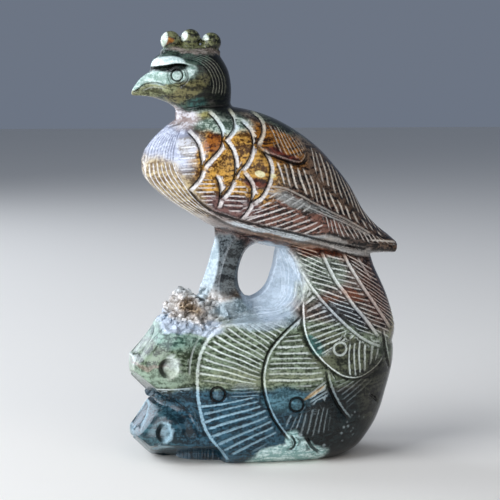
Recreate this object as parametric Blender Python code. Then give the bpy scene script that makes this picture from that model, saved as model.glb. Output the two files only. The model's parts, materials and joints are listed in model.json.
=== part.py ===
# A peacock standing on a rock, its train sweeping down behind it, cut from one piece of jasper.
# The bird looks along -X and up is +Z. Both sides mirror each other across Y = 0, and the origin
# is on the flat underside, below the middle of the carving.

import math

import bmesh
import bpy
import numpy as np
from mathutils import Matrix, Vector, noise

MM = 0.001

# Driving dimensions
HEIGHT = 123 * MM            # underside of the rock to the top of the crest
BODY_WIDTH = 36 * MM         # across the folded wings
HEAD_WIDTH = 16.5 * MM       # across the cheeks
LEG_WIDTH = 11 * MM          # across the post under the belly
TRAIN_WIDTH = 37.5 * MM      # across the train where it meets the rock
ROCK_WIDTH = 39 * MM         # across the rock
KNOB_RADIUS = 2.85 * MM      # the three balls of the crest
WEB_THICKNESS = 7 * MM       # the stone left around the window behind the leg
SCOOP_DEPTH = 10 * MM        # from the web out to the rim of the scoop on each side

FEATHER_STEP = 0.9 * MM      # how far a feather of the train stands over the next one
SCALE_STEP = 0.6 * MM        # how far a scale of the wing stands over the next one
WING_STEP = 1.3 * MM         # how far the wing stands over the flank
BARB_PITCH = 3.2 * MM        # from one cut barb of a feather to the next
GROOVE_WIDTH = 1.3 * MM
GROOVE_DEPTH = 0.55 * MM
RING_RADIUS = 2.2 * MM       # the ring at the heart of a train feather
RING_DEPTH = 0.9 * MM
EYE_RADIUS = 2.3 * MM        # the ring about the bird's eye
EYE_DEPTH = 0.7 * MM
SHAFT_WIDTH = 1.7 * MM       # the cut line along the middle of a feather
SHAFT_DEPTH = 0.7 * MM
BROW_HEIGHT = 0.6 * MM       # how far the brow stands out above the eye
SOCKET_WIDTH = 2.9 * MM      # the cut under the brow
SOCKET_DEPTH = 0.9 * MM
OVERHANG_STEP = 1.9 * MM     # how far the upper rock stands out over the lower one
PIT_DEPTH = 1.1 * MM         # the round hollows ground into the rock

# Shaping
DRAWN_HEIGHT = 123           # the outlines below are in millimetres on a carving this high
UNIT = HEIGHT / DRAWN_HEIGHT
GROUND = 2                   # where the underside is ground flat, in the outlines' heights
SIDES = 40                   # points around each section
STEPS = 4                    # sections between two drawn ones
CELL = 0.5 * MM              # cell in which the forms are fused
RELAXED = 4                  # times that the fused skin is evened out
FACES = 9600                 # triangles of the finished solid
SHARP = math.radians(40)     # steeper edges stay crisp
BEVEL = 0.7                  # drawn width of a stepped edge
FEATHER_FADE = 6             # drawn width over which the stone comes back level behind a step
SCALE_FADE = 3.5
BROW_WIDTH = 3.4             # drawn width
PIT_RIM = 1.6                # how steeply a pit's side falls before its flat floor
FACING = (0.1, 0.4)          # sideways share of the normal at which carving begins, and is full

# How square each form's sections are, from round at 2
ROUND = 2
BODY_SQUARE = 2.1
BULGE_SQUARE = 2.4
TRAIN_SQUARE = 2.6
ROCK_SQUARE = 2.9
BODY_DROOP = 0.28            # how far below its middle the body is widest

# Finish
STONE = (0.12, 0.13, 0.07, 1)
POLISH = 0.25

# Sections: x and z of the front edge, x and z of the back edge, and the share of the full width.
BODY = (
    (-34.5, 88.0, -33.5, 91.0, 0.10),
    (-34.2, 84.2, -30.7, 94.5, 0.33),
    (-31.9, 80.8, -25.8, 98.7, 0.56),
    (-27.8, 77.2, -19.3, 102.3, 0.75),
    (-22.2, 73.5, -12.1, 103.3, 0.91),
    (-15.2, 69.3, -4.0, 102.2, 0.99),
    (-7.9, 65.8, 3.6, 99.7, 1.00),
    (-0.3, 63.4, 10.7, 95.7, 0.96),
    (6.7, 62.2, 16.6, 91.1, 0.88),
    (12.8, 61.5, 21.2, 86.1, 0.79),
    (18.9, 60.9, 25.6, 80.4, 0.68),
    (25.1, 60.6, 29.5, 73.5, 0.56),
    (30.4, 60.5, 33.3, 69.0, 0.46),
    (35.2, 60.6, 37.0, 66.0, 0.37),
    (38.6, 60.5, 39.7, 63.7, 0.29),
)
HEAD = (
    (-24.9, 96.7, -4.6, 98.7, 1.34),
    (-24.7, 101.0, -7.2, 102.2, 1.07),
    (-24.9, 102.6, -8.8, 103.6, 0.95),
    (-26.6, 103.9, -8.8, 105.3, 0.93),
    (-28.7, 105.2, -8.7, 107.4, 0.95),
    (-30.7, 107.1, -8.8, 109.4, 0.99),
    (-31.8, 109.4, -9.1, 111.4, 1.00),
    (-32.1, 111.7, -9.6, 113.3, 0.99),
    (-31.8, 113.7, -10.4, 115.0, 0.93),
    (-31.4, 115.6, -11.6, 116.9, 0.83),
    (-30.1, 117.2, -12.9, 118.4, 0.67),
    (-27.8, 118.4, -14.8, 119.2, 0.44),
    (-25.2, 118.8, -17.1, 119.4, 0.18),
)
BEAK = (
    (-26.0, 103.8, -27.8, 113.2, 0.61),
    (-28.7, 104.8, -31.0, 113.4, 0.49),
    (-31.0, 105.6, -32.8, 112.4, 0.38),
    (-33.3, 106.0, -34.4, 111.3, 0.29),
    (-35.2, 106.1, -35.7, 109.8, 0.22),
    (-36.5, 106.1, -36.9, 108.0, 0.13),
    (-37.1, 106.2, -37.3, 106.9, 0.05),
)
CREST = (
    (-29.0, 116.5, -29.0, 118.8, 0.16),
    (-26.8, 116.0, -27.1, 120.0, 0.28),
    (-20.8, 117.0, -20.8, 120.5, 0.32),
    (-14.5, 116.0, -14.2, 120.0, 0.28),
    (-12.2, 115.8, -11.8, 118.8, 0.16),
)
LEG = (
    (-13.9, 70.5, 5.0, 65.4, 1.80),
    (-13.5, 66.6, -1.2, 64.2, 1.35),
    (-13.7, 64.2, -4.1, 62.7, 1.12),
    (-14.5, 61.6, -5.5, 60.8, 1.00),
    (-15.2, 58.7, -6.5, 58.2, 0.95),
    (-16.1, 55.9, -7.1, 55.6, 0.95),
    (-17.1, 53.0, -7.1, 52.8, 1.00),
    (-18.2, 50.6, -6.4, 50.4, 1.15),
    (-20.3, 47.8, -4.1, 47.5, 1.45),
    (-22.3, 43.6, -1.7, 43.3, 1.70),
)
TRAIN = (
    (7.0, 66.0, 29.0, 66.0, 0.48),
    (4.5, 62.5, 31.2, 61.8, 0.58),
    (3.8, 58.5, 32.6, 57.3, 0.69),
    (2.9, 55.0, 34.0, 54.1, 0.77),
    (0.6, 51.5, 35.6, 50.6, 0.85),
    (-3.5, 48.0, 36.9, 47.2, 0.91),
    (-6.4, 44.0, 38.1, 43.1, 0.96),
    (-7.8, 38.8, 38.8, 38.8, 0.99),
    (-7.8, 33.0, 37.5, 33.0, 0.95),
)
ROCK = (
    (-26.0, 0.0, 20.0, 0.0, 0.52),
    (-28.0, 1.5, 22.5, 1.5, 0.62),
    (-29.6, 3.0, 25.2, 3.0, 0.76),
    (-30.8, 5.0, 28.0, 5.0, 0.89),
    (-31.6, 7.8, 30.2, 7.8, 0.97),
    (-31.8, 12.2, 33.0, 12.2, 1.00),
    (-31.8, 16.8, 34.9, 16.8, 1.00),
    (-31.8, 21.4, 36.2, 21.4, 1.00),
    (-31.8, 26.0, 37.5, 26.0, 0.99),
    (-31.8, 30.7, 38.3, 30.7, 0.98),
    (-31.5, 35.3, 38.0, 35.3, 0.96),
    (-31.0, 38.8, 35.0, 38.8, 0.93),
    (-30.1, 42.3, 29.0, 42.3, 0.89),
    (-28.7, 45.1, 20.0, 45.1, 0.82),
    (-26.0, 47.2, 10.0, 47.2, 0.67),
)
UPPER_BULGE = (
    (-28.1, 46.0, -10.0, 46.0, 0.56),
    (-31.8, 42.3, -9.0, 42.3, 0.74),
    (-35.2, 37.3, -8.0, 37.3, 0.84),
    (-38.3, 32.4, -8.0, 32.4, 0.89),
    (-38.9, 28.7, -8.0, 28.7, 0.90),
    (-38.1, 24.6, -8.0, 24.6, 0.88),
    (-35.5, 22.0, -9.0, 22.0, 0.84),
    (-33.3, 19.8, -10.0, 19.8, 0.78),
)
LOWER_BULGE = (
    (-33.3, 19.1, -10.0, 19.1, 0.74),
    (-34.6, 17.4, -9.0, 17.4, 0.80),
    (-36.8, 14.5, -8.0, 14.5, 0.87),
    (-38.5, 11.0, -8.0, 11.0, 0.89),
    (-38.6, 8.7, -8.0, 8.7, 0.88),
    (-37.9, 6.9, -8.0, 6.9, 0.85),
    (-35.6, 5.0, -9.0, 5.0, 0.78),
    (-32.0, 2.6, -10.0, 2.6, 0.66),
    (-29.0, 0.5, -11.0, 0.5, 0.54),
)

# The leg's section, from its narrow front edge round to its back: shares along and across.
KEEL = ((1, 0.12), (0.40, 0.97), (0.20, 1), (-0.75, 0.92), (-1, 0.55),
        (-1, -0.55), (-0.75, -0.92), (0.20, -1), (0.40, -0.97), (1, -0.12))

# The crest's balls: x and z of their centres.
KNOBS = ((-26.0, 121.6), (-20.3, 122.15), (-14.4, 121.2))
KNOB_SIDES = 24

# The scoop behind the leg: x and z on the window's edge, then x and z on the scoop's rim.
SCOOP = (
    (-48.0, 75.0, -48.0, 75.0),
    (0.0, 75.0, 0.0, 75.0),
    (0.6, 64.0, 0.3, 66.0),
    (2.0, 61.8, 3.0, 62.4),
    (3.0, 59.0, 6.4, 59.0),
    (3.1, 56.0, 8.7, 55.0),
    (2.6, 53.5, 9.7, 51.8),
    (1.5, 51.2, 9.0, 48.4),
    (-0.3, 49.3, 5.5, 45.0),
    (-3.0, 47.9, -1.0, 43.3),
    (-7.0, 47.4, -9.0, 42.8),
    (-14.0, 46.6, -18.0, 42.0),
    (-21.0, 45.6, -26.0, 40.5),
    (-30.0, 44.5, -34.0, 41.0),
    (-48.0, 44.5, -48.0, 41.0),
)

SCOOP_FLARE = (0, 0.03, 0.12, 0.27, 0.48, 0.74, 1)      # shares of its depth that have a section
SCOOP_BEYOND = 1.1           # the opening clear outside the stone, as a share of the rim's

# Lumps of rough stone around the foot: x, z, and the half length, half height and half width.
FOOT_LUMPS = (
    (-22.5, 45.8, 4.6, 5.4, 7.5),
    (-26.3, 42.5, 3.8, 4.2, 8.5),
    (-18.5, 43.0, 6.0, 4.6, 10.0),
    (-12.5, 42.5, 6.0, 4.6, 10.5),
    (-23.5, 41.2, 5.5, 4.4, 11.0),
    (-17.0, 40.5, 8.0, 3.8, 12.5),
    (-4.5, 46.5, 2.2, 1.8, 5.0),
)
LUMP_ROUGHNESS = 0.22        # share of a lump's size that its surface goes in and out
LUMP_GRAIN = 2.3             # how many swells fit in a lump's radius

# Lines cut on both sides, by x and z. On a stepped line the side to its left stays high.
FEATHERS = {
    "low": ((-8, 43), (-13.5, 41.5), (-17.3, 38.5), (-20, 34.5), (-21.4, 30), (-21.5, 26),
            (-21, 21.5), (-20, 17), (-18.5, 12.5), (-16, 8.5), (-13.5, 5), (-11, 1)),
    "middle": ((8.5, 43.7), (5, 41.3), (2, 37.8), (-0.8, 33.8), (-2.2, 29.8), (-2.5, 26.5),
               (-1.7, 23), (0, 18.5), (2, 15), (4.5, 11.7), (6.4, 8.4)),
    "high": ((8.6, 46.5), (9.3, 40), (11, 35.6), (13.8, 31.9), (17.8, 28.6), (22, 26.8),
             (26, 26.7), (30, 28.6), (33.2, 31.4), (34.8, 35)),
    "back": ((16, 29.1), (16.9, 25), (18.7, 20.8), (20.6, 17.8), (22.8, 14.7)),
}
SHAFTS = {
    "middle": ((9, 20), (16, 25.2)),
    "high": ((9.5, 57), (11.5, 52.7), (14, 50), (16.3, 47.4), (19, 44.4), (22.2, 41.3), (25.7, 38.6),
             (32.6, 35.2)),
    "inner": ((15.4, 61.9), (17.1, 59.2), (18.3, 55.9), (20.2, 52.6), (22.5, 49.5), (24.7, 46.7),
              (27, 43.5), (29.8, 40), (32.6, 35.5)),
    "outer": ((21.7, 61.5), (23.6, 58.7), (25.1, 55.4), (27, 52.6), (29.5, 48.9), (32.6, 44.7),
              (35.3, 40.1)),
    "edge": ((32.3, 44.2), (33.1, 39.6), (34.5, 33.5), (36, 27.4)),
    "wing": ((-1.2, 79.1), (5.4, 77), (12.8, 74.8), (20.5, 71.7), (30.1, 67.1), (38, 63.6)),
    "back": ((8.9, 88.2), (15.8, 83.8), (20.2, 78.6), (24.9, 73.9), (30.3, 69.3), (34.3, 64.9)),
}
SCALES = (
    ((-22.1, 81), (-19.2, 85.9), (-18.4, 91), (-22.2, 95.6)),
    ((-18.6, 87.4), (-13.5, 93), (-13.4, 97.5), (-15.8, 100.8)),
    ((-14, 77.2), (-9.9, 85), (-9.7, 89.1), (-12.3, 93.4)),
    ((-12.8, 94), (-10.1, 96.5), (-9.5, 99.5), (-10.7, 102.1)),
    ((-9, 85.5), (-3.8, 92.4), (-4.1, 95.5), (-7.5, 98.6)),
    ((-4.9, 77.2), (-2.4, 79.2), (-0.1, 84.8), (-0.1, 88.8), (-2.7, 92.4)),
    ((-3.3, 92.9), (-1.7, 95.9), (-1.4, 99.2), (-3.6, 101.2)),
    ((-15, 75.6), (-14.2, 80.8), (-15.1, 85)),
    ((-8.9, 72.4), (-5.4, 76.1), (-5.5, 80.2), (-7.4, 84.4)),
)
COVERT = ((-2, 91), (1.5, 89.7), (5, 88.2), (7.9, 87.4), (9.9, 88.7))
WING_EDGE = ((-24, 84), (-22.1, 80.8), (-17.9, 75.9), (-10.2, 72.3), (-0.3, 68.7), (13.2, 66),
             (24, 63.9), (31, 62.9), (36, 63.4))
FLANK_EDGE = ((-17.9, 73.2), (-11.3, 70.4), (-6.3, 68.8), (1.3, 65.7), (12.3, 63), (22, 61.6), (31, 60.9))
OVERHANG = ((-34, 20), (-28.6, 21.6), (-24.1, 20.2), (-21.2, 16.8), (-20.1, 13))
LEDGE = ((-29, 40.8), (-26.7, 40.6), (-21, 39.3), (-17.9, 40.3))

# Fields of barbs: each barb runs from a place on the first line to the same share of the second.
BARBS = (
    (((-8, 43), (-17.3, 38.5), (-21, 32), (-21.4, 28.5)), ((1, 39.5), (-0.8, 34.5), (-2, 28.5))),
    (((-21.3, 23), (-19.5, 15.5), (-15, 6.5), (-9, 2)), ((-2.4, 26.5), (-1, 21), (3.5, 13.5), (5.5, 9))),
    (((6.5, 42), (-0.8, 33.5), (-2.5, 25)), ((9.2, 42.5), (10.5, 36.5), (15.5, 29))),
    (((5.5, 15.5), (8.5, 17.5), (13, 20), (17, 21.5)), ((4, 12.5), (8, 8), (14, 6), (20, 8))),
    (((9, 47.5), (9.5, 40), (12, 34.5)), ((13, 51), (17, 46.5), (23.5, 40.2))),
    (((22, 36.5), (32, 35.5)), ((21, 27.8), (31.5, 30))),
    (((8.5, 61.5), (11, 56.8), (12, 52.5), (20, 43.8), (29, 37.2)),
     ((16, 58.5), (19.5, 53), (25.5, 45), (32.3, 36))),
    (((15.8, 61.7), (18.3, 55.9), (24.7, 46.7), (30, 39.5)),
     ((24, 57.8), (27, 52.2), (33, 43.5), (34.5, 38))),
    (((21.9, 61.5), (25.1, 55.4), (29.5, 48.9), (35.3, 40)),
     ((31.5, 54.5), (34.8, 48), (37.5, 42.3), (38.8, 36))),
    (((18, 24), (21, 17.5), (26, 14)), ((21, 26.5), (28, 25), (34, 29))),
    (((-2, 97), (5, 96), (11, 93.5)), ((0, 91.5), (5, 89.3), (11, 89))),
    (((1.3, 88.8), (8, 86), (14, 83.5), (20, 78), (25, 73.2), (34, 65)),
     ((3.8, 81.2), (10, 78.3), (17.5, 74), (24.3, 70.3), (35, 64.8))),
    (((10, 95), (16, 90.5), (21, 85.5), (25.5, 79.5), (30, 73), (35, 67.5)),
     ((12, 87), (18, 82), (22, 77), (27.5, 72), (32, 68), (37, 64.5))),
    (((-9, 72.6), (-0.3, 69.3), (13.2, 66.6), (29.9, 63.2)), ((-1, 77), (8, 75.8), (20.5, 71.2), (36, 64))),
    (((-25, 94), (-24.5, 84)), ((-19.5, 93.5), (-19.5, 84.5))),
    (((-21, 82), (-17, 77)), ((-15, 82), (-14.5, 76.5))),
    (((-13.5, 80.5), (-9.5, 74)), ((-6.3, 81), (-6.5, 75))),
)
# Fields of long cuts: each cut is a line part way between the two.
SWEEPS = (
    (((-22.5, 98), (-25.5, 93), (-26, 87), (-23.5, 81), (-18.5, 76), (-14, 73.5)),
     ((-24, 100.5), (-31.5, 96), (-35, 90), (-34.5, 84), (-28, 78), (-17, 73))),
    (((-22, 116.5), (-19, 113), (-17.5, 108)), ((-16, 117.5), (-12, 113), (-10.5, 107))),
    (((-5, 67.5), (8, 62.8), (24, 60.4)), ((2, 64), (9, 60.5), (20, 57))),
)

# Round marks: x, z, and the radii along and across; the slanted one leans by its last value.
FEATHER_EYES = ((-14.9, 22.9), (7.4, 19.6), (20, 35.1))
PITS = ((-28.9, 30.8, 2.8, 2.8, 0), (-30.1, 12.3, 2.0, 2.7, 0), (-34.6, 37.5, 4.2, 1.9, 50),
        (-38.3, 29.8, 2.6, 2.6, 0), (-36.2, 15.6, 3.2, 1.9, 50), (-38.3, 9.3, 1.9, 2.3, 0))
HEAD_EYE = (-24.8, 111.6)
BROW = ((-29.5, 116), (-26, 116.1), (-21.8, 115))
SOCKET = ((-30.5, 113.9), (-26, 114.2), (-22.4, 113.7))
MOUTH = ((-36.8, 106.9), (-33.8, 109), (-30.5, 109.6), (-28.2, 108.4))
COLLAR = ((-25, 102), (-18.8, 103), (-10, 103))


def clear_scene():
    for thing in list(bpy.data.objects):
        bpy.data.objects.remove(thing, do_unlink=True)


def smooth_rows(rows, steps=STEPS):
    """The drawn rows with steps - 1 more between each two, on a curve through them."""
    rows = np.array(rows, dtype=float)
    ends = np.vstack((2 * rows[0] - rows[1], rows, 2 * rows[-1] - rows[-2]))
    result = []
    for before, start, end, after in zip(ends, ends[1:], ends[2:], ends[3:]):
        for step in range(steps):
            t = step / steps
            result.append(0.5 * (2 * start + (end - before) * t
                                 + (2 * before - 5 * start + 4 * end - after) * t ** 2
                                 + (3 * start - before - 3 * end + after) * t ** 3))
    result.append(rows[-1])
    return result


def shell(rings):
    """A closed bmesh through rings that all have the same number of points."""
    mesh = bmesh.new()
    rings = [[mesh.verts.new(point) for point in ring] for ring in rings]
    for lower, upper in zip(rings, rings[1:]):
        for index, corner in enumerate(lower):
            after = (index + 1) % len(lower)
            mesh.faces.new((corner, lower[after], upper[after], upper[index]))
    mesh.faces.new(rings[0][::-1])
    mesh.faces.new(rings[-1])
    bmesh.ops.recalc_face_normals(mesh, faces=mesh.faces)
    return mesh


def power(value, exponent):
    return math.copysign(abs(value) ** exponent, value)


def oval(squareness, droop=0.0):
    """Points along and across a section: round at squareness 2, widest towards its front by droop."""
    points = []
    for index in range(SIDES):
        angle = math.tau * index / SIDES
        along = power(math.cos(angle), 2 / squareness)
        points.append((along + droop * (1 - along ** 2), power(math.sin(angle), 2 / squareness)))
    return points


def loft(rows, width, profile):
    """A form through sections that all have the profile's shape."""
    rings = []
    for x1, z1, x2, z2, share in smooth_rows(rows):
        front = Vector((x1, 0, z1)) * UNIT
        back = Vector((x2, 0, z2)) * UNIT
        side = Vector((0, width * share / 2, 0))
        rings.append([(front + back) / 2 + (front - back) / 2 * along + side * across
                      for along, across in profile])
    return shell(rings)


def scoop_cutter():
    """What is taken away between belly and train: a window that flares out to a rim each way."""
    outline = smooth_rows(SCOOP, 2)
    sections = [(WEB_THICKNESS / 2 + SCOOP_DEPTH * out, math.sqrt(out * (2 - out))) for out in SCOOP_FLARE]
    sections.append((WEB_THICKNESS / 2 + SCOOP_DEPTH + ROCK_WIDTH, SCOOP_BEYOND))
    sections = [(-y, opening) for y, opening in reversed(sections)] + sections
    rings = []
    for y, opening in sections:
        rings.append([Vector(((x1 + (x2 - x1) * opening) * UNIT, y, (z1 + (z2 - z1) * opening) * UNIT))
                      for x1, z1, x2, z2 in outline])
    return shell(rings)


def lump(x, z, length, height, width):
    """A rough rounded stone."""
    mesh = bmesh.new()
    bmesh.ops.create_icosphere(mesh, subdivisions=3, radius=1)
    for vertex in mesh.verts:
        swell = 1 + LUMP_ROUGHNESS * noise.noise(vertex.co * LUMP_GRAIN + Vector((x, z, 0)))
        vertex.co *= swell
    size = Matrix.Diagonal((length * UNIT, width * UNIT, height * UNIT, 1))
    bmesh.ops.transform(mesh, matrix=Matrix.Translation((x * UNIT, 0, z * UNIT)) @ size, verts=mesh.verts)
    return mesh


def knobs():
    """The crest's three balls, along the ridge on the head."""
    mesh = bmesh.new()
    for x, z in KNOBS:
        place = Matrix.Translation((x * UNIT, 0, z * UNIT))
        bmesh.ops.create_uvsphere(mesh, u_segments=KNOB_SIDES, v_segments=KNOB_SIDES // 2,
                                  radius=KNOB_RADIUS, matrix=place)
    return mesh


def add_object(name, meshes):
    data = bpy.data.meshes.new(name)
    whole = bmesh.new()
    for mesh in meshes:
        mesh.to_mesh(data)
        mesh.free()
        whole.from_mesh(data)
    whole.to_mesh(data)
    whole.free()
    thing = bpy.data.objects.new(name, data)
    bpy.context.collection.objects.link(thing)
    return thing


def evaluated(thing):
    """The mesh that an object's modifiers give."""
    graph = bpy.context.evaluated_depsgraph_get()
    return bpy.data.meshes.new_from_object(thing.evaluated_get(graph))


def scooped(name, mesh, cutter):
    """A form with the scoop cut out of it, as a bmesh."""
    thing = add_object(name, [mesh])
    cut = thing.modifiers.new("scoop", "BOOLEAN")
    cut.object = cutter
    cut.operation = "DIFFERENCE"
    result = bmesh.new()
    result.from_mesh(evaluated(thing))
    bpy.data.objects.remove(thing, do_unlink=True)
    return result


def rough_form():
    """All the forms fused into one skin."""
    cutter = add_object("cutter", [scoop_cutter()])
    parts = [
        scooped("train", loft(TRAIN, TRAIN_WIDTH, oval(TRAIN_SQUARE)), cutter),
        scooped("rock", loft(ROCK, ROCK_WIDTH, oval(ROCK_SQUARE)), cutter),
        scooped("bulge", loft(UPPER_BULGE, ROCK_WIDTH, oval(BULGE_SQUARE)), cutter),
        loft(LOWER_BULGE, ROCK_WIDTH, oval(BULGE_SQUARE)),
        loft(BODY, BODY_WIDTH, oval(BODY_SQUARE, BODY_DROOP)),
        loft(HEAD, HEAD_WIDTH, oval(ROUND)),
        loft(BEAK, HEAD_WIDTH, oval(ROUND)),
        loft(CREST, HEAD_WIDTH, oval(ROUND)),
        loft(LEG, LEG_WIDTH, KEEL),
        knobs(),
    ]
    parts += [lump(*row) for row in FOOT_LUMPS]
    bpy.data.objects.remove(cutter, do_unlink=True)
    thing = add_object("form", parts)
    fuse = thing.modifiers.new("fuse", "REMESH")
    fuse.mode = "VOXEL"
    fuse.voxel_size = CELL
    relax = thing.modifiers.new("relax", "SMOOTH")
    relax.iterations = RELAXED
    mesh = evaluated(thing)
    bpy.data.objects.remove(thing, do_unlink=True)
    return mesh


def smoothstep(value, low, high):
    share = np.clip((value - low) / (high - low), 0, 1)
    return share * share * (3 - 2 * share)


class Relief:
    """What is cut into a mesh, seen from the side: positions in drawn millimetres, depths in metres."""

    def __init__(self, mesh):
        self.mesh = mesh
        self.place = np.empty(3 * len(mesh.vertices))
        mesh.vertices.foreach_get("co", self.place)
        self.place = self.place.reshape(-1, 3)
        self.normal = np.empty(3 * len(mesh.vertices))
        mesh.vertices.foreach_get("normal", self.normal)
        self.normal = self.normal.reshape(-1, 3)
        drawn = self.place / UNIT
        self.flat = drawn[:, (0, 2)]
        self.near = drawn * (1, -1, 1)
        self.near[:, 1] = -np.abs(drawn[:, 1])
        self.sideways = smoothstep(np.abs(self.normal[:, 1]), *FACING)
        self.lift = np.zeros(len(drawn))

    def measure(self, line, reach):
        """Where the line passes within reach: indices, distances, and which side (left is above zero)."""
        line = np.array(line, dtype=float)
        inside = np.all((self.flat > line.min(0) - reach) & (self.flat < line.max(0) + reach), axis=1)
        chosen = np.nonzero(inside)[0]
        points = self.flat[chosen]
        best = np.full(len(points), reach, dtype=float)
        side = np.zeros(len(points))
        for start, end in zip(line, line[1:]):
            run = end - start
            share = np.clip((points - start) @ run / (run @ run), 0, 1)
            gap = points - start - share[:, None] * run
            distance = np.hypot(gap[:, 0], gap[:, 1])
            turn = run[0] * gap[:, 1] - run[1] * gap[:, 0]
            closer = distance < best
            best[closer] = distance[closer]
            side[closer] = np.sign(turn[closer])
        hit = best < reach
        return chosen[hit], best[hit], side[hit]

    def groove(self, line, width, depth):
        """A cut with a round bottom along a line; crossing cuts get no deeper."""
        half = width / UNIT / 2
        chosen, distance, _ = self.measure(line, half)
        cut = -depth * (1 - (distance / half) ** 2) * self.sideways[chosen]
        self.lift[chosen] = np.minimum(self.lift[chosen], cut)

    def step(self, line, height, bevel, fade):
        """An edge that overlaps what is to its right: cut down there, and let out again over fade."""
        chosen, distance, side = self.measure(line, fade)
        low = -height * (1 - distance / fade) ** 2
        high = -height * np.clip(1 - distance / bevel, 0, 1)
        self.lift[chosen] += np.where(side > 0, high, low) * self.sideways[chosen]

    def ridge(self, line, width, height):
        half = width / 2
        chosen, distance, _ = self.measure(line, half)
        self.lift[chosen] += height * (1 - (distance / half) ** 2) ** 2

    def spot(self, x, z):
        """The place on the near side that shows at x and z."""
        gap = np.hypot(self.near[:, 0] - x, self.near[:, 2] - z)
        return self.near[gap.argmin()]

    def pit(self, x, z, along, across, lean, depth):
        """A shallow oval hollow with a crisp rim."""
        away = self.near - self.spot(x, z)
        turn = math.radians(lean)
        up = away[:, 0] * math.cos(turn) + away[:, 2] * math.sin(turn)
        cross = np.sqrt(np.maximum((away ** 2).sum(1) - up ** 2, 0))
        radius = np.hypot(up / along, cross / across)
        self.lift -= depth * np.clip(PIT_RIM * (1 - radius ** 2), 0, 1)

    def ring(self, x, z, radius, width, depth):
        """A round groove about a small dome."""
        away = self.near - self.spot(x, z)
        distance = np.sqrt((away ** 2).sum(1))
        half = width / UNIT / 2
        cut = -depth * np.clip(1 - ((distance - radius / UNIT) / half) ** 2, 0, 1)
        inside = distance < radius / UNIT + half
        self.lift[inside] = cut[inside]

    def apply(self):
        self.place += self.normal * self.lift[:, None]
        self.mesh.vertices.foreach_set("co", self.place.ravel())
        self.mesh.update()


def along(line, shares):
    """Points at shares of a line's length."""
    line = np.array(line, dtype=float)
    lengths = np.hypot(*np.diff(line, axis=0).T)
    reached = np.concatenate(([0], np.cumsum(lengths))) / lengths.sum()
    return np.stack([np.interp(shares, reached, line[:, axis]) for axis in (0, 1)], axis=1)


def length(line):
    return np.hypot(*np.diff(np.array(line, dtype=float), axis=0).T).sum() * UNIT


def cuts_across(span):
    """How many barbs fit across a span; a field has two at least."""
    return max(2, round(span / BARB_PITCH))


def carve(mesh):
    """The feathers, scales, face and hollows, from the broad steps to the fine cuts."""
    relief = Relief(mesh)
    for line in FEATHERS.values():
        relief.step(smooth_rows(line), FEATHER_STEP, BEVEL, FEATHER_FADE)
    for line in (*SCALES, COVERT):
        relief.step(smooth_rows(line), SCALE_STEP, BEVEL, SCALE_FADE)
    relief.step(smooth_rows(WING_EDGE), WING_STEP, BEVEL, FEATHER_FADE)
    relief.step(smooth_rows(FLANK_EDGE), SCALE_STEP, BEVEL, FEATHER_FADE)
    relief.step(smooth_rows(OVERHANG), OVERHANG_STEP, BEVEL, FEATHER_FADE)
    relief.ridge(smooth_rows(BROW), BROW_WIDTH, BROW_HEIGHT)
    for marks in PITS:
        relief.pit(*marks, PIT_DEPTH)

    for first, second in BARBS:
        count = cuts_across(max(length(first), length(second)))
        shares = (np.arange(count) + 0.5) / count
        for start, end in zip(along(smooth_rows(first), shares), along(smooth_rows(second), shares)):
            relief.groove((start, end), GROOVE_WIDTH, GROOVE_DEPTH)
    for first, second in SWEEPS:
        first, second = np.array(smooth_rows(first)), np.array(smooth_rows(second))
        widest = np.hypot(*(first - second).T).max() * UNIT
        for share in np.linspace(0, 1, 1 + cuts_across(widest)):
            relief.groove(first + (second - first) * share, GROOVE_WIDTH, GROOVE_DEPTH)
    for line in (*SHAFTS.values(), LEDGE, MOUTH, COLLAR):
        relief.groove(smooth_rows(line), SHAFT_WIDTH, SHAFT_DEPTH)
    relief.groove(smooth_rows(SOCKET), SOCKET_WIDTH, SOCKET_DEPTH)
    for x, z in FEATHER_EYES:
        relief.ring(x, z, RING_RADIUS, GROOVE_WIDTH, RING_DEPTH)
    relief.ring(*HEAD_EYE, EYE_RADIUS, GROOVE_WIDTH, EYE_DEPTH)
    relief.apply()


def cut_flat(mesh):
    """The underside ground flat, and the origin set on it below the middle."""
    work = bmesh.new()
    work.from_mesh(mesh)
    everything = work.verts[:] + work.edges[:] + work.faces[:]
    sliced = bmesh.ops.bisect_plane(work, geom=everything, dist=1e-7, plane_co=(0, 0, GROUND * UNIT),
                                    plane_no=(0, 0, -1), clear_outer=True)
    rim = [item for item in sliced["geom_cut"] if isinstance(item, bmesh.types.BMEdge)]
    bmesh.ops.edgeloop_fill(work, edges=rim)
    bmesh.ops.recalc_face_normals(work, faces=work.faces)
    xs = [vertex.co.x for vertex in work.verts]
    ys = [vertex.co.y for vertex in work.verts]
    middle = Vector(((min(xs) + max(xs)) / 2, (min(ys) + max(ys)) / 2, GROUND * UNIT))
    bmesh.ops.translate(work, vec=-middle, verts=work.verts)
    bmesh.ops.triangulate(work, faces=work.faces)
    work.to_mesh(mesh)
    work.free()


def jasper():
    """Polished jasper: dark green stone with olive and red-brown bands."""
    material = bpy.data.materials.new("jasper")
    material.use_nodes = True
    shader = material.node_tree.nodes["Principled BSDF"]
    shader.inputs["Base Color"].default_value = STONE
    shader.inputs["Roughness"].default_value = POLISH
    shader.inputs["Metallic"].default_value = 0
    return material


def main():
    clear_scene()
    mesh = rough_form()
    carve(mesh)
    thing = add_carving(mesh)
    thin = thing.modifiers.new("thin", "DECIMATE")
    thin.ratio = FACES / (2 * len(mesh.polygons))
    thinned = evaluated(thing)
    bpy.data.objects.remove(thing, do_unlink=True)
    cut_flat(thinned)
    thing = add_carving(thinned)
    thing.data.materials.append(jasper())
    thing.data.shade_smooth()
    thing.data.set_sharp_from_angle(angle=SHARP)


def add_carving(mesh):
    thing = bpy.data.objects.new("peacock_carving", mesh)
    bpy.context.collection.objects.link(thing)
    return thing


main()
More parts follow.
